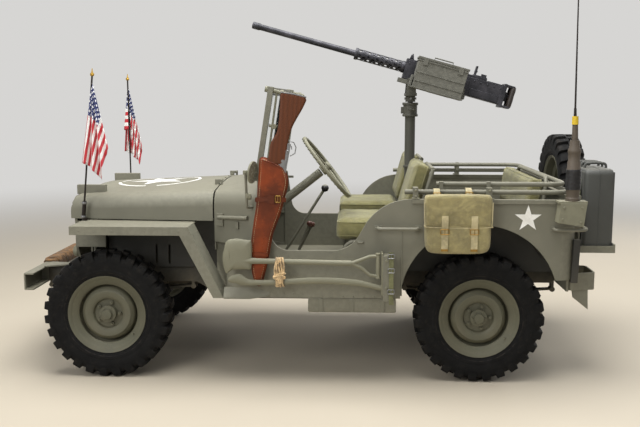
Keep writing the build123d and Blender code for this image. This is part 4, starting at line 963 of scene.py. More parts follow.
def bag():
    """The canvas shoulder bag: a sagging body under its flap, webbing straps and brass buckles."""
    s = Shape()
    part = {"slot": "bag_canvas", "node": "bag"}
    levels = [(-744, 9), (-749, 2), (-758, 0), (-778, -1), (-796, 1), (-806, 8), (-811, 20), (-813, 38),
              (-814, 62), (-813, 92), (-812, 126)]
    s.cushion(rounded(BAG_BODY), levels, bag_wave, shrunk)
    s.make("bag_body", "bag_low", **part, finer=1, sharp=70)
    levels = [(-744, 5), (-750, 1), (-770, 0), (-800, 0), (-811, 3), (-816, 9), (-818, 20), (-819, 38),
              (-818.5, 60)]
    s.cushion(rounded(BAG_FLAP), levels, flap_wave, shrunk)
    s.make("bag_flap", "bag", **part, finer=1, sharp=70)

    s.tube([(x, -813.5, z) for x, z in inset(rounded(BAG_FLAP, 8), 1) if z < 1000], 3.0, 8)
    for x in BAG_STRAPS:
        s.strip([(x, -821.5, 930), (x + 1, -822.5, 900), (x, -822, 872), (x - 1, -818.5, 862),
                 (x, -816.5, 830), (x + 1, -817, 790), (x, -817.5, 748)], 34, 2.2)
    for x, z, y_end in BAG_HANGERS:
        s.strip([(x, -764, z - 24), (x, -759, z - 6), (x, -744, z + 10), (x, -724, z + 15),
                 (x, y_end, z + 14)], 32, 2.4)
    s.make("bag_webbing", "webbing", **part, sharp=60)
    for x in BAG_STRAPS:
        s.buckle((x, -823.5, 846), 44, 26)
        s.block((x - 18, -820, 744), (x + 18, -816, 756))
    for x, z, _ in BAG_HANGERS:
        s.buckle((x, -768, z - 12), 38, 20, 2.2)
    s.make("bag_buckles", "brass", **part)


SCABBARD = [(868, 1222), (930, 1207), (986, 1172), (1008, 1100), (992, 1020), (972, 950), (948, 880),
            (925, 815), (903, 700), (880, 602), (866, 552), (852, 541), (838, 552), (820, 602), (813, 690),
            (814, 770), (828, 870), (842, 960), (852, 1060), (860, 1150)]
SCABBARD_LEVELS = [(-742.5, 7), (-746, 2), (-754, 0), (-768, 0), (-777, 2), (-782, 6), (-784.5, 10),
                   (-785.5, 14)]
STOCK = [(884, 1190), (908, 1230), (916, 1285), (932, 1322), (952, 1352), (962, 1400), (968, 1460),
         (972, 1520), (976, 1561), (1040, 1552), (1105, 1536), (1096, 1496), (1072, 1452), (1045, 1406),
         (1028, 1368), (1018, 1330), (1010, 1290), (1004, 1240), (985, 1190)]
STITCHES = 120
STITCH_Y = -783.2


def scabbard():
    """The leather scabbard with its sewn edge and strap, and the stock and metal that stand out of it."""
    s = Shape()
    part = {"slot": "tan_leather", "node": "scabbard"}
    s.cushion(rounded(SCABBARD, 4), SCABBARD_LEVELS)
    s.make("scabbard_body", "leather", **part, finer=1, sharp=60)
    s.tube([(x, -764, z) for x, z in rounded(SCABBARD)], 3.4, 8, closed=True)
    s.tube([(876, -783, 1213), (930, -787, 1198), (984, -784, 1164)], 3.0, 8)
    for width, line in (
            (24, [(838, -782, 1003), (846, -789, 1006), (920, -791, 1010), (990, -789, 1006), (1000, -782, 1003)]),
            (20, [(812, -778, 720), (820, -787, 718), (862, -789, 716), (902, -787, 712), (908, -778, 708)])):
        s.strip(line, width, 3, (0, 0, 1))
    s.block((905, -797, 985), (940, -788, 1030))
    s.make("scabbard_straps", "leather", **part, sharp=50)
    seam = even_loop(inset(rounded(SCABBARD), 10), STITCHES)
    for a, b in zip(seam, seam[1:] + seam[:1]):
        end = a.lerp(b, 0.6)
        s.rod((a.x, STITCH_Y, a.y), (end.x, STITCH_Y, end.y), 1.3, sides=6)
    s.make("scabbard_stitches", "webbing", **part)
    s.buckle((958, -794, 1009), 26, 34)
    s.make("scabbard_buckle", "brass", **part)

    part = {"slot": "stock_wood", "node": "rifle_stock"}
    s.prism(rounded(STOCK, 2), -783, -749)
    s.make("stock_body", "stock", 11.0, **part)
    s.prism([(974, 1558), (975, 1564), (1042, 1555), (1107, 1539), (1106, 1533), (1040, 1549)], -782, -750)
    lean = shift(990, -766, 1235) @ turn(10.6, "Y")
    s.blocks([(-24, -12, -120, 24, 12, 66), (-10, -15, -60, 18, 15, 30)], lean)
    guard = [(1012, 1310), (1040, 1304), (1052, 1278), (1046, 1246), (1020, 1232)]
    for line, radius in ((guard, 3.0), ([(1016, 1290), (1028, 1284), (1030, 1266)], 2.4)):
        s.tube([(x, -766, z) for x, z in line], radius, 8)
    s.rods([(1006, -782, 1262, 1018, -790, 1258, 5, 4), (984, -784, 1206, 984, -748, 1206, 9)])
    s.make("stock_metal", "steel", 1.0, **part)


SHOVEL_BLADE = [(664, 690), (672, 740), (688, 788), (738, 801), (800, 793), (818, 786), (819, 716),
                (815, 642), (776, 637), (716, 634), (680, 616)]
AXE_LINE = [  # x, z, half height
    (694, 581, 12), (712, 584, 20), (735, 586, 25), (765, 580, 28), (800, 567, 17), (840, 566, 15),
    (914, 567, 15), (1038, 574, 16.5), (1130, 579, 17.5), (1211, 580, 17), (1270, 578, 17), (1314, 575, 17.5),
    (1360, 571, 17.5), (1403, 565, 16.5), (1503, 542, 14.5),
]


def tools():
    """The shovel with its dished blade and forked grip, and the axe's curved handle."""
    s = Shape()
    part = {"slot": "tool_handles", "node": "pioneer_tools"}
    levels = [(-796, 7), (-798, 1), (-802, 0), (-808, 4), (-813, 12), (-816, 24), (-818, 40), (-818.5, 56)]
    s.cushion(rounded(SHOVEL_BLADE, 4), levels, smaller=shrunk)
    s.tube([(690, -803, 786), (700, -811, 772), (702, -818, 720), (704, -811, 652), (700, -803, 634)], 3, 8)
    shaft = ((770, 683), (815, 682.5), (860, 682), (1200, 677), (1340, 674.5))
    s.tube([(x, TOOL_Y, z) for x, z in shaft], [16, 17, 15, 14, 15], 18)
    for end, bend in ((714, 692), (606, 652)):
        fork = ((1330, 674.5), (1356, 674 + (bend - 674) * 0.2), (1392, bend),
                (1440, end - (end - bend) * 0.12), (1482, end))
        s.tube([(x, TOOL_Y, z) for x, z in fork], [10, 11, 10, 9, 9], 14)
    s.rod((1482, TOOL_Y, 724), (1482, TOOL_Y, 598), 11)
    for z in (724, 598):
        s.lathe([(0, -5), (12, -5), (13, 0), (12, 5), (0, 5)], shift(1482, TOOL_Y, z), 18)
    s.make("shovel", "light_olive", 0.8, **part)
    line = smooth_path(AXE_LINE, 3)
    s.loft([[(p.x, TOOL_Y + 11.5 * a, p.y + p.z * b) for a, b in circle(18)] for p in line])
    s.make("axe_handle", "light_olive", **part, sharp=50)

    s.blocks([(1500, -818, 506, 1508, -742, 728), (1545, -818, 530, 1552, -790, 700)])
    s.rods([(1526, -822, z, 1526, -816, z, 7) for z in (548, 690)])
    s.make("tool_bracket", "light_olive", 1.2)
    s.strip([(1549, -822, 738), (1551, -823, 700), (1550, -823, 640), (1551, -823, 560), (1550, -822, 500),
             (1553, -822, 458)], 24, 2.6)
    s.make("tool_strap", "green_webbing", slot="bag_canvas", sharp=60)
    for z in (716, 640, 528):
        s.buckle((1550, -826, z), 34, 22)
    s.make("tool_strap_buckles", "steel")


# Gun

GUN_PLACE = shift(1690, 0, 1625) @ turn(15.4, "Y")
BORE_Z = 78.0


def perforated_tube(s, x0, x1, outer, inner, columns, rows, hole):
    """A tube along the bore with rows of round holes in its wall."""
    step_x, step_a = (x1 - x0) / columns, 2 * math.pi / rows
    for i in range(columns):
        for j in range(rows):
            cx, ca = x0 + step_x * (i + 0.5), step_a * (j + 0.5 * (i % 2))
            layers = []
            for radius in (outer, inner):
                edge, ring = [], []
                for c, n in circle(8):
                    big = max(abs(c), abs(n))
                    for made, px, pa in ((edge, c / big * step_x / 2, n / big * step_a / 2),
                                         (ring, c * hole, n * hole / outer)):
                        angle = ca + pa
                        made.append((cx + px, radius * math.sin(angle), BORE_Z + radius * math.cos(angle)))
                layers.append((edge, ring))
            (edge, ring), (deep_edge, deep_ring) = layers
            for a, b in ((edge, ring), (ring, deep_ring), (deep_ring, deep_edge)):
                s.loft([a, b], caps=False, place=GUN_PLACE)


def gun():
    """The mounted gun's outer form: perforated jacket, plain receiver, sights and grips."""
    s = Shape()
    place = GUN_PLACE
    part = {"slot": "gun_metal", "body": "gun", "node": "gun"}
    s.blocks([
        (-60, -50, 12, 545, 50, 122), (30, -47, 118, 430, 47, 138), (-60, -44, 118, 22, 44, 132),
        (440, -30, 118, 545, 30, 130), (100, -58, 88, 250, -49, 114), (150, 50, 70, 190, 70, 84),
        (540, -58, -2, 556, 58, 140), (552, -56, 2, 602, 56, 14), (552, -56, 126, 602, 56, 138),
        (552, -9, 40, 574, 9, 96),
    ], place)
    for side in (-1, 1):
        s.block((70, side * 52 - 3, 30), (330, side * 52 + 3, 100), place)
        s.block((345, side * 51 - 3, 18), (520, side * 51 + 3, 60), place)
        screws = (-40, 0, 40, 360, 400, 440, 480, 520)
        s.rods([(x, side * 49, 106, x, side * 54, 106, 5, None, 10) for x in screws], place)
        s.rods([(x, side * 52, 40, x, side * 57, 40, 4, None, 10) for x in (90, 150, 210, 270, 310)], place)
    s.rods([(170, 66, 77, 170, 96, 77, 9, 8), (574, 0, 72, 582, 0, 72, 13, 11)], place)
    s.make("gun_receiver", "gun", 2.0, **part)

    perforated_tube(s, -352, -78, 33, 29, 10, 8, 9.5)
    for x in (-370, -78):
        s.lathe([(20, 0), (34.5, 0), (35.5, 3), (35.5, 15), (34.5, 18), (20, 18)],
                place @ shift(x, 0, BORE_Z) @ turn(90, "Y"), 36)
    s.lathe([(0, 0), (9, 0), (19, -2), (21, -8), (21, -46), (18, -52), (18, -300), (19, -650), (0, -650)],
            place @ shift(-1010, 0, BORE_Z) @ turn(-90, "Y"), 32)
    s.rod((-372, 0, BORE_Z), (-60, 0, BORE_Z), 18, sides=28, place=place)
    s.make("gun_barrel", "gun", **part, sharp=40)
    # A thin black disc on the muzzle stands for the bore: painted shade of the hole.
    s.rod((-1010.6, 0, BORE_Z), (-1009, 0, BORE_Z), 6.5, sides=20, place=place)
    s.block((112, -59, 92), (238, -57.5, 110), place)
    s.make("gun_dark_parts", "black", **part)

    s.prism([(-40, 138), (-34, 168), (-28, 168), (-24, 138)], -1.5, 1.5, place)
    for side in (-1, 1):
        s.prism([(-44, 138), (-40, 160), (-26, 160), (-20, 138)], side * 9 - 1.5, side * 9 + 1.5, place)
        s.block((352, side * 18 - 3, 144), (362, side * 18 + 3, 196), place)
    s.blocks([
        (-46, -6, 130, -18, 6, 140), (346, -24, 136, 430, 24, 146), (352, -21, 190, 362, 21, 198),
        (350, -14, 158, 364, 14, 172), (395, -16, 144, 425, 16, 160),
    ], place)
    s.rod((357, -26, 166), (357, -16, 166), 8, place=place)
    s.make("gun_sights", "gun", 0.8, **part)
    grip = [(0, -64), (13, -62), (15, -50), (16.5, -20), (15, 12), (16.5, 40), (14.5, 60), (12, 64), (0, 64)]
    for side in (-1, 1):
        s.lathe(grip, place @ shift(596, side * 42, 70), 24)
    s.make("gun_grips", "dark_wood", **part, sharp=50)


def gun_mount():
    """Fittings on the ammunition box, the cradle and the post."""
    s = Shape()
    place = GUN_PLACE
    s.blocks([(-6, -228, 140, 296, -72, 152), (-4, -229, 128, 294, -71, 134)], place)
    s.blocks([(x - 14, -231, 108, x + 14, -224, 150) for x in (40, 250)], place)
    s.tube([(90, -150, 151), (90, -150, 168), (200, -150, 168), (200, -150, 151)], 4, 8, place=place)
    s.blocks([(6, -228.5, z, 284, -224, z + 5) for z in (10, 60)], place)
    s.blocks([(x - 4, -200, -26, x + 6, -100, 40) for x in (-12, 296)], place)
    s.rods([(0, y, 0, 0, y + 10, 0, 15, None, 6) for y in (-80, 70)], place)
    s.rod((290, -62, -8), (290, 62, -8), 7, place=place)
    s.make("ammunition_box_fittings", "box_olive", 1.2, body="gun")
    for z, r in ((1498, 46), (1430, 45), (1120, 37), (905, 38), (706, 40)):
        s.lathe([(28, -8), (r, -8), (r + 2, -4), (r + 2, 4), (r, 8), (28, 8)], shift(1690, 0, z), 40)
    s.rods([(1690, -40, 1466, 1690, -78, 1466, 6), (1672, -78, 1466, 1716, -80, 1462, 6, 4)])
    s.block((1634, -8, 1440), (1652, 8, 1480))
    s.rods([(x, y, 594, x, y, 604, 10, None, 6) for x in (1572, 1808) for y in (-128, 128)])
    s.make("post_fittings", "post_olive", 1.0)
    for angle in (0, 90):
        s.rod((-36, 0, 0), (36, 0, 0), 7, sides=6, place=shift(1690, 0, 1530) @ turn(angle, "Z"))
    s.make("swivel_bolts", "steel", 0.6, body="gun_mount")


# Aerial and fuel can

AERIAL_X, AERIAL_Y = 2478.0, -782.0
AERIAL_BASE = [  # radius, height
    (0, 1008), (36, 1008), (36, 1022), (33, 1026), (33, 1052), (35, 1056), (35, 1176), (33, 1180), (33, 1206),
    (30, 1212), (30, 1250), (33, 1256), (33, 1268), (27, 1280), (24, 1318), (0, 1318),
]


def aerial():
    """The aerial: olive corner bracket, dark ribbed base wound with wire, yellow band and whip."""
    x, y = AERIAL_X, AERIAL_Y
    s = Shape()
    part = {"slot": "staff_metal", "node": "antenna"}
    s.block((2401, -816, 996), (2548, -742, 1008))
    cheek = [(2412, 997), (2546, 997), (2532, 876), (2400, 896)]
    for outline, y0, y1 in ((cheek, -818, -812), (cheek, -754, -742),
                            ([(2412, 997), (2424, 997), (2412, 894), (2400, 896)], -813, -753),
                            ([(2534, 997), (2546, 997), (2532, 876), (2520, 878)], -813, -753)):
        s.prism(outline, y0, y1)
    screws = ((2430, 975), (2520, 975), (2422, 915), (2516, 900))
    s.rods([(a, -818, b, a, -823, b, 7, None, 6) for a, b in screws])
    s.make("aerial_bracket", "light_olive", 1.5, node="antenna")
    s.lathe(AERIAL_BASE, shift(x, y, 0), 40)
    s.rod((x, y, 1316), (x - 3, y, 1440), 16, 13, 24)
    s.make("aerial_base", "ceramic", **part, sharp=30)
    coil = enumerate(circle(12) * 15)
    s.tube([(x + 37 * a, y + 37 * b, 1064 + i * 7.0 / 12) for i, (a, b) in coil], 3.0, 7)
    s.make("aerial_wire", "black", **part, sharp=60)
    s.rod((x - 2.2, y, 1398), (x - 3, y, 1440), 16.5, 15.5, 24)
    s.make("aerial_band", "yellow", **part)
    s.rods([(x - 4, y, 1436, x - 5, y, 1480, 8, 6.5), (x - 5, y, 1478, x - 16, y, 2350, 5, 2.6, 12)])
    s.make("aerial_whip", "staff", **part)


CAN_X, CAN_Y, CAN_Z = (2603.0, 2772.0), (-532.0, -188.0), (700.5, 1150.0)
CAN_SUNK = 7
CAN_DISC = 52


def can_face(x, out):
    """One large pressed face of the can: a grid whose ribs form a cross inside a sunk frame."""
    (y0, y1), (z0, z1) = CAN_Y, CAN_Z
    half_y, half_z = (y1 - y0) / 2, (z1 - z0) / 2
    rows = []
    for v in [-1 + 2 * j / 36 for j in range(37)]:
        row = []
        for u in [-1 + 2 * i / 28 for i in range(29)]:
            sunk = min(max((min(1 - abs(u), 1 - abs(v)) - 0.10) / 0.10, 0), 1)
            cross = min(abs(u - v), abs(u + v)) * 0.7
            rib = 1 - min(max((cross - 0.05) / 0.08, 0), 1)
            if math.hypot(u * half_y, v * half_z) <= CAN_DISC:
                rib = 1.0
            row.append((x - out * CAN_SUNK * sunk * (1 - rib), y0 + half_y + u * half_y * 0.90,
                        z0 + half_z + v * half_z * 0.92))
        rows.append(row)
    return rows


def fuel_can():
    """The pressed steel can with its cross, middle seam, three handles and spout cap, and its strap."""
    s = Shape()
    x0, x1 = CAN_X
    outline = round_rectangle(*CAN_Y, *CAN_Z, 34, 7)
    half = [(7, 26), (7.5, 14), (12, 5), (24, 0)]
    levels = [(x0 + dx, amount) for dx, amount in half] + [(x1 - dx, amount) for dx, amount in half[::-1]]
    s.loft([[(x, y, z) for y, z in inset(outline, amount)] for x, amount in levels])
    for x, out in ((x0 + 1, -1), (x1 - 1, 1)):
        s.sheet(can_face(x, out), 8, (out, 0, 0))
    s.make("can_body", "dark_olive", node="jerrycan", sharp=50)
    s.tube([((x0 + x1) / 2, y, z) for y, z in inset(outline, -1.5)], 4.0, 8, closed=True)
    handle = ((2630, 1143), (2632, 1166), (2650, 1175), (2725, 1175), (2743, 1166), (2745, 1143))
    for y in (-430, -360, -290):
        s.tube(smooth_path([(x, y, z) for x, z in handle], 4), 7.5, 12)
    s.rod((2687, -236, 1146), (2694, -222, 1166), 26, 25, 28)
    s.block((2676, -262, 1160), (2698, -214, 1172))
    s.make("can_fittings", "dark_olive", 0.8, node="jerrycan")
    for y in (-450, -270):
        for line in ([(2604, 1090), (2601, 1000), (2601, 760), (2602, 704)],
                     [(2774, 702), (2774.5, 780), (2774.5, 1000), (2772, 1120)]):
            s.strip([(x, y, z) for x, z in line], 26, 2.5, (0, 1, 0))
    s.make("can_straps", "green_webbing", slot="bag_canvas", sharp=60)


# Small parts of the body

SCREEN_PLACE = shift(838, 0, 1094) @ turn(9, "Y")
SCREEN_HALF = 700.0


def windscreen_parts():
    """Rubber seals, wipers, top clamps, side arms and catches of the windscreen."""
    place = SCREEN_PLACE
    s = Shape()
    for side in (-1, 1):
        y0, y1 = sorted((side * 13, side * (SCREEN_HALF - 35)))
        for x in (-8, 8):
            line = round_rectangle(y0 + 3, y1 - 3, 81, 463, 14)
            s.tube([(x, y, z) for y, z in line], 5, 8, True, place=place)
    s.make("screen_seals", "black", slot="window_glass", body="windscreen")
    for y in (-360, 360):
        s.blocks([(-19, y - 22, 468, -8, y + 22, 492), (-14, y - 200, 288, -7, y - 60, 300)], place)
        s.rods([(-12, y, 480, -21, y, 480, 6), (-18, y, 480, -13, y - 130, 300, 2.5, None, 8),
                (10, y, 480, 34, y, 474, 4, 6, 10)], place)
    s.make("screen_wipers", "black", slot="staff_metal", body="windscreen")
    for side in (-1, 1):
        y, mid = side * 683, side * 560
        s.rods([
            (-22, y, 486, 86, y, 478, 11, 9, 14), (-30, y, 487, -14, y, 486, 16, 16, 14),
            (52, y, 480, 70, y, 479, 15, 15, 8), (86, y, 478, 96, y, 477, 5, 5, 8),
            (40, y, 86, 34, y, 474, 6, None, 10), (18, y, 300, 62, y, 300, 8, None, 12),
            (46, y - 14, 300, 46, y + 14, 300, 15, 13, 8),
        ], place)
        s.blocks([(-18, y - 14, 470, 16, y + 14, 503), (12, y - 10, 76, 48, y + 10, 96),
                  (-19, mid - 24, 16, -13, mid + 24, 70)], place)
        s.bolts([place @ Vector((-19, mid + dy, z)) for dy in (-14, 14) for z in (28, 58)], (-1, 0, 0), 5)
    for y in (-640, -480, -200, -60, 60, 200, 480, 640):
        s.bolts([place @ Vector((-14, y, z)) for z in (20, 66)], (-1, 0, 0), 4.5, 3, 10)
    s.make("screen_clamps", "light_olive", 1.0, body="windscreen")


def dash_and_pedals():
    """Dials, switches and the grab rail on the dash, pedals, column clamp and the knobs of the levers."""
    s = Shape()
    faces = Shape()
    dials = ((-70, 985, 38), (70, 985, 38), (0, 1005, 26), (0, 950, 26), (-140, 985, 24), (140, 985, 24))
    for y, z, r in dials:
        bezel = [(r - 6, 0), (r + 3, 0), (r + 3, 6), (r, 9), (r - 4, 9), (r - 6, 4)]
        s.lathe(bezel, shift(840, y, z) @ turn(90, "Y"), 32)
        faces.rod((839, y, z), (843, y, z), r - 5, sides=32)
        s.rod((843, y, z), (845, y, z), 3, sides=10)
        s.block((843, y - 1.2, z), (844.6, y + 1.2, z + r * 0.62))
    s.rods([(839, y, 945, 858, y, 945, 6, 8, 12) for y in (-210, -240, 205, 235)])
    s.tube([(842, 330, 1000), (876, 332, 1004), (880, 350, 1004), (880, 600, 1004), (876, 618, 1004),
            (842, 620, 1000)], 8, 12)
    s.block((838, 300, 925), (845, 610, 985))
    s.rod((844, 455, 955), (856, 455, 955), 12, 10)
    s.make("dash_fittings", "olive", 0.8)
    faces.make("dial_faces", "dial", slot="window_glass")
    for y in (-470, -290):
        s.block((-5, y - 34, -38), (5, y + 34, 38), shift(775, 0, 610) @ turn(-32, "Y"))
        s.rod((772, y, 600), (700, y, 590), 8)
    treads = [(6, -16, -44 + i * 20, 9, 16, -36 + i * 20) for i in range(5)]
    s.blocks([(-6, -16, -52, 6, 16, 52)] + treads, shift(776, -215, 600) @ turn(-38, "Y"))
    s.make("pedals", "black", 1.5)
    s.lathe([(0, -24), (16.8, -18), (24, 0), (19.2, 14.4), (0, 22.8)], shift(1175, 0, 984), 28)
    s.rod((836, -360, 860), (868, -360, 884), 40, 40, 8)
    s.make("lever_knob", "black", sharp=50)
    for x, y, z in ((1076, 50, 755), (1090, 82, 745)):
        s.lathe([(0, -18), (13, -14), (19, 0), (14, 13), (0, 18)], shift(x, y, z), 24)
    s.make("transfer_knobs", "brown", sharp=50)


def wheel_grips():
    """Finger bumps under the steering wheel's rim, its spoke clamps and horn button."""
    place = shift(1199, -360, 1143) @ turn(90 - 38.2, "Y")
    s = Shape()
    s.rods([(205 * a, 205 * b, -7, 214 * a, 214 * b, -7, 6.5, 5, 10) for a, b in circle(40)], place)
    s.lathe([(0, 8), (24, 8), (27, 10), (26, 18), (16, 24), (0, 26)], place, 28)
    for angle in (90, 210, 330):
        s.rods([(26, dy, 3, 200, dy * 1.6, 3, 4, None, 8) for dy in (-7, 7)], place @ turn(angle, "Z"))
    s.make("wheel_grips", "light_olive", body="steering_wheel", sharp=50)


LENS_X, LENS_Z = -222.0, 775


def lamp_parts():
    """Fluted lenses and bright rims of the head lamps, side lamps, tail lamps and reflectors."""
    s, rims, red = Shape(), Shape(), Shape()
    for side in (-1, 1):
        y = side * 335
        place = shift(LENS_X, y, LENS_Z) @ turn(-90, "Y")
        rims.lathe([(76, 4), (82, 4), (85, 8), (85, 14), (81, 20), (76, 17)], place)
        s.lathe([(0, 22), (30, 21), (55, 18), (76, 12), (76, 6), (0, 6)], place)
        for dy in range(-64, 65, 8):
            half = math.sqrt(72 ** 2 - dy ** 2) - 4
            s.block((LENS_X - 22, y + dy - 1, LENS_Z - half), (LENS_X - 16, y + dy + 1, LENS_Z + half))
        place = shift(-236, side * 400, 655) @ turn(-90, "Y")
        rims.lathe([(0, 0), (30, 0), (34, 6), (30, 26), (24, 28), (24, 30), (0, 30)], place, 32)
        s.lathe([(0, 30), (20, 30), (22, 31), (16, 34), (0, 35)], place, 24)
        place = shift(2530, side * 560, 860) @ turn(90, "Y")
        rims.lathe([(0, 0), (34, 0), (38, 5), (38, 26), (34, 30), (0, 30)], place, 36)
        red.lathe([(0, 30), (26, 30), (27, 32), (14, 37), (0, 38)], place, 28)
        place = shift(2530, side * 600, 690) @ turn(90, "Y")
        rims.lathe([(24, 0), (30, 0), (31, 5), (28, 7), (24, 6)], place, 32)
        red.lathe([(0, 5), (24, 5), (20, 7), (0, 9)], place, 28)
        place = shift(2505, side * 735, 944) @ turn(side * -90, "X")
        rims.lathe([(17, 0), (23, 0), (24, 4), (21, 6), (17, 5)], place, 28)
        red.lathe([(0, 4), (17, 4), (14, 6), (0, 7)], place, 24)
    s.make("lamp_lenses", "lamp_glass", slot="lamp_glass", sharp=40)
    rims.make("lamp_rims", "light_olive", sharp=40)
    red.make("tail_lenses", "red", slot="lamp_glass", sharp=40)


def side_fittings():
    """Handle ends, strap eyes, seams, bolts, corner bars and the tank strap on the body."""
    s, dark, bow = Shape(), Shape(), Shape()
    for side in (-1, 1):
        y = side * BODY_HALF
        out, up = (0, side, 0), (0, 0, 1)
        for x0, x1 in ((1462, 1502), (1676, 1712), (2384, 2420)):
            s.block((x0, y, 838), (x1, y + side * 4, 866))
            s.bolts([(x0 + 8, y + side * 4, 852), (x1 - 8, y + side * 4, 852)], out, 4.5, 3, 10)
        for x, z in ((905, 985), (1390, 775)):
            far = y + side * 12
            s.tube([(x - 12, y, z), (x - 10, far, z), (x + 10, far, z), (x + 12, y, z)], 4, 8)
            s.block((x - 20, y, z - 8), (x + 20, y + side * 2.5, z + 8))
        s.bolts([(x, y + side * 0.5, 492) for x in range(930, 1090, 52)], out, 5, 3, 10)
        s.bolts([(x, y + side * 0.5, 984) for x in range(1700, 2420, 120)], out, 4.5, 2.5, 10)
        s.block((1604, y, 486), (1612, y + side * 3, 846))
        dark.prism([(2512, 793), (2546, 793), (2538, 562), (2503, 562)], side * 690, side * 724)
        for x in (-120, 60, 240, 420):
            s.bolts([(x, side * 743, 826)], out)
            s.bolts([(x, side * 500, 850)], up)
        for x, z in ((493, 803), (636, 506)):
            s.bolts([(x, side * 600, z), (x, side * 720, z)], (0.9, 0, 0.43))
        s.bolts([(2530, side * dy, 985) for dy in (60, 200, 340, 480, 600)], (1, 0, 0), 5, 3, 10)
        for x in (1678, 2063):
            bow.bolts([(x, side * 736, 1020), (x, side * 736, 1052)], out, 7, 5)
            bow.rod((x - 22, side * 736, 1010), (x + 22, side * 736, 1010), 4, sides=8)
    s.blocks([(x - 12, -738.5, 394, x + 12, -734, 466) for x in (1180, 1345, 1510)])
    s.rod((1345, -560, 389), (1345, -560, 382), 20, sides=6)
    s.block((1113, -737, 462), (1580, -733, 468))
    s.bolts([(x, -735.5, 478) for x in range(1130, 1580, 56)], (0, -1, 0), 4.5, 3, 10)
    s.make("side_fittings", "olive", 0.8)
    dark.make("corner_bars", "chassis", 1.0)
    bow.make("bow_bolts", "light_olive", 0.8)


def hood_fittings():
    """The screws on the hood's rear edge."""
    s = Shape()
    s.bolts([(557, side * y, 1049) for side in (-1, 1) for y in (286, 296)], (0, 0, 1), 3.5, 8, 8)
    s.rods([(560, y, 1045, 560, y, 1050, 5, None, 10) for y in range(-240, 241, 120)])
    s.make("hood_catches", "light_olive", 1.0, body="hood")


def mirror_parts():
    """The mirror's glass, its rim and the two clamps of its arm."""
    face = Vector((0.955, -0.283, -0.09)).normalized()
    place = shift(826, -761.5, 1146) @ face.to_track_quat("Z", "Y").to_matrix().to_4x4()
    s = Shape()
    # The glass disc carries a painted reflection in its flat pale colour.
    s.lathe([(0, -0.5), (52, -0.5), (52, 1.2), (0, 1.2)], place)
    s.make("mirror_glass", "mirror", slot="window_glass", sharp=40)
    s.lathe([(52, -9), (58, -9), (59.5, -4), (58, 1.5), (52, 1.5)], place)
    s.rod((800, -722, 1010), (800, -740, 1010), 14, sides=8)
    s.blocks([(787, -775, 1010, 813, -748, 1034), (774, -776, 1136, 798, -748, 1156)])
    s.bolts([(786, -776, 1146), (800, -775, 1022)], (0, -1, 0), 6, 5)
    s.make("mirror_clamps", "light_olive", 1.0)


def engine_parts():
    """What the open hood shows: cylinder head with its bolts, air cleaner, fan, hoses and battery."""
    s = Shape()
    s.block((-30, -118, 926), (510, 92, 948))
    s.bolts([(x, y, 948) for x in range(0, 500, 80) for y in (-100, -14, 74)], (0, 0, 1), 9, 7)
    s.rod((-125, 0, 760), (-60, 0, 760), 40, 40, 20)
    for k in range(4):
        s.block((-118, -22, 30), (-106, 22, 190), shift(0, 0, 760) @ turn(90 * k + 20, "X") @ turn(12, "Z"))
    s.tube(smooth_path([(-130, 60, 905), (-80, 60, 940), (-20, 40, 952), (20, 20, 950)], 5), 22, 14)
    s.make("engine_head", "chassis", 2.0, "chassis_paint")
    s.lathe([(0, 0), (74, 0), (78, 6), (78, 88), (70, 98), (20, 104), (0, 104)], shift(420, 270, 800), 40)
    s.tube(smooth_path([(420, 270, 890), (400, 220, 925), (330, 150, 948), (280, 110, 950)], 5), 20, 14)
    s.rods([(420, 270, 790, 420, 270, 802, 60, 60, 24), (150, 100, 948, 150, 100, 966, 26, 24, 20)])
    s.make("air_cleaner", "olive", sharp=40)
    s.block((430, -385, 740), (560, -200, 905))
    s.rods([(495, y, 905, 495, y, 912, 12, 11) for y in (-355, -315, -275, -235)])
    s.make("battery", "black", 4.0, "chassis_paint")
    s.rods([(455, y, 905, 455, y, 922, 9, 8, 12) for y in (-365, -220)])
    s.rods([(100, y, 948, 100, y, 968, 8, 6, 10) for y in (-70, -30, 10, 50)])
    s.make("terminals", "steel", slot="chassis_paint")


# Stars

STAR_WAIST = 0.382
SIDE_STAR = (2265.0, 906.0, 73.0)  # x, z, radius
HOOD_STAR = (155.0, 190.0, 236.0)  # x, radius, radius of the ring
HOOD_RING_WIDE = 17
HOOD_RING_ARCS = [(-8, 82), (98, 172), (188, 262), (278, 352)]  # degrees
HOOD_CORNERS = [  # x, half width, shoulder z, corner radius, crown
    (-202.0, 482.0, 990.0, 80.0, 20.0), (572.0, 545.0, 1020.0, 80.0, 25.0),
]
PAINT_LIFT = 0.9


def star_outline(radius, start):
    """The ten corners of a five-pointed star whose first point lies at an angle."""
    sizes = [radius, radius * STAR_WAIST] * 5
    return [(r * a, r * b) for r, (a, b) in zip(sizes, circle(10, start))]


def on_hood(x, y):
    """A place just above the hood's crowned top."""
    (x0, *low), (x1, *high) = HOOD_CORNERS
    t = (x - x0) / (x1 - x0)
    half, shoulder, corner, crown = (a + (b - a) * t for a, b in zip(low, high))
    return (x, y, shoulder + crown * (1 - (y / (half - corner)) ** 2) + PAINT_LIFT)


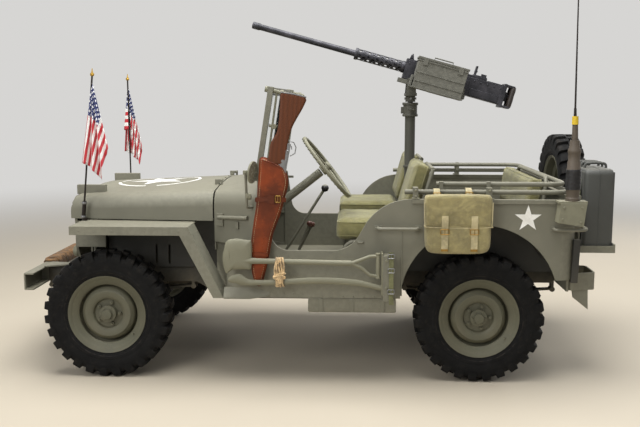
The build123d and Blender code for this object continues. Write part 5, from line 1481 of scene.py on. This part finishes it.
def stars():
    """White stars on both sides and, in a broken ring, on the hood."""
    s = Shape()
    x, z, radius = SIDE_STAR
    outline = star_outline(radius, math.pi / 2)
    for name, side in SIDES:
        place = shift(x, side * (BODY_HALF + 0.4), z)
        if side > 0:
            place = place @ turn(180, "Z")
        rings = [[(a, y, b) for a, b in outline] for y in (0, -0.7)]
        for ring in rings:
            points = [(i, (i + 1) % 10, 10) for i in range(10)]
            s.add(ring + [(0, ring[0][1], 0)], points, place)
        s.loft(rings, caps=False, place=place)
        s.make(f"star_{name}", "white", sharp=20)
    x, radius, ring = HOOD_STAR
    outline = [Vector(p) for p in star_outline(radius, math.pi)]
    border = [a.lerp(b, k / 6) for a, b in zip(outline, outline[1:] + outline[:1]) for k in range(6)]
    s.loft([[on_hood(x + p.x * k / 14, p.y * k / 14) for p in border] for k in range(15)], caps=False)
    for start, end in HOOD_RING_ARCS:
        angles = [math.radians(start + (end - start) * k / 24) for k in range(25)]
        rows = [[on_hood(x + r * math.cos(a), r * math.sin(a)) for a in angles]
                for r in (ring, ring + HOOD_RING_WIDE)]
        s.sheet(rows, 0.6, (0, 0, 1))
    s.make("star_hood", "white", body="hood", sharp=20)


# Floor, light and camera

CAMERA_PLACE = (0.2240, -5.0479, 1.5239)
CAMERA_TURN = (82.13, 0.0, 2.47)
CAMERA_LENS, SENSOR_WIDE = 46.39, 36.0
FLOOR_TONES = (184, 174, 156), (168, 157, 138)
BACK_TONE = (214, 213, 211)
FLOOR_FADE = 3.0, 11.0
WORLD_LEVEL = 0.38
LAMPS = [  # name, place in metres, width, watts
    ("overhead", (0.0, -0.6, 5.5), 5.0, 500),
    ("front_fill", (-3.5, -5.5, 3.4), 3.5, 160),
    ("rear_fill", (4.5, 4.0, 3.4), 3.5, 120),
]


def floor():
    """A pale floor that fades into the backdrop."""
    bpy.ops.mesh.primitive_circle_add(vertices=96, radius=40, fill_type="NGON")
    ground = bpy.context.object
    ground.name = "floor"
    f = Finish("floor", 0.75)
    x, y, _ = f.axes()
    away = f.maths("SQRT", f.maths("ADD", f.maths("POWER", x, 2.0), f.maths("POWER", y, 2.0)))
    f.colour(f.mix(f.times(f.noise(1.2, 5.0), 0.3), *[linear(*tone) for tone in FLOOR_TONES]))
    glow = f.node("Emission", {"Color": linear(*BACK_TONE)})
    blend = f.node("MixShader", {0: f.steps(away, *FLOOR_FADE), 1: f.shader.outputs[0], 2: glow.outputs[0]})
    f.put(f.tree.nodes["Material Output"].inputs["Surface"], blend.outputs[0])
    ground.data.materials.append(f.material)


def world():
    """Soft light from all round, behind a backdrop that the camera, glass and gloss see."""
    studio = bpy.data.worlds.new("studio")
    bpy.context.scene.world = studio
    studio.use_nodes = True
    nodes, links = studio.node_tree.nodes, studio.node_tree.links
    ambient = nodes["Background"]
    ambient.inputs["Color"].default_value = (0.93, 0.96, 1.0, 1.0)
    ambient.inputs["Strength"].default_value = WORLD_LEVEL
    seen = nodes.new("ShaderNodeBackground")
    seen.inputs["Color"].default_value = linear(*BACK_TONE)
    path = nodes.new("ShaderNodeLightPath")
    either = path.outputs["Is Camera Ray"]
    for name in ("Is Glossy Ray", "Is Transmission Ray"):
        most = setup(nodes.new("ShaderNodeMath"), operation="MAXIMUM")
        links.new(either, most.inputs[0])
        links.new(path.outputs[name], most.inputs[1])
        either = most.outputs[0]
    choose = nodes.new("ShaderNodeMixShader")
    for i, source in enumerate((either, ambient.outputs[0], seen.outputs[0])):
        links.new(source, choose.inputs[i])
    links.new(choose.outputs[0], nodes["World Output"].inputs["Surface"])


def lights_and_camera():
    for name, place, size, power in LAMPS:
        data = setup(bpy.data.lights.new(name, "AREA"), shape="DISK", size=size, energy=power)
        aim = (Vector((0, 0, 0.6)) - Vector(place)).to_track_quat("-Z", "Y").to_euler()
        setup(in_scene(name, data), location=place, rotation_euler=aim)
    data = setup(bpy.data.cameras.new("camera"), sensor_width=SENSOR_WIDE, lens=CAMERA_LENS)
    camera = setup(in_scene("camera", data), location=CAMERA_PLACE,
                   rotation_euler=[math.radians(a) for a in CAMERA_TURN])
    bpy.context.scene.camera = camera
    bpy.context.scene.view_settings.view_transform = "Standard"


floor()
world()
lights_and_camera()
dress_nodes()
wheels()
seats()
bumper_rope()
tie_rope()
bag()
scabbard()
tools()
gun()
gun_mount()
aerial()
fuel_can()
windscreen_parts()
dash_and_pedals()
wheel_grips()
lamp_parts()
side_fittings()
hood_fittings()
mirror_parts()
engine_parts()
flags()
stars()
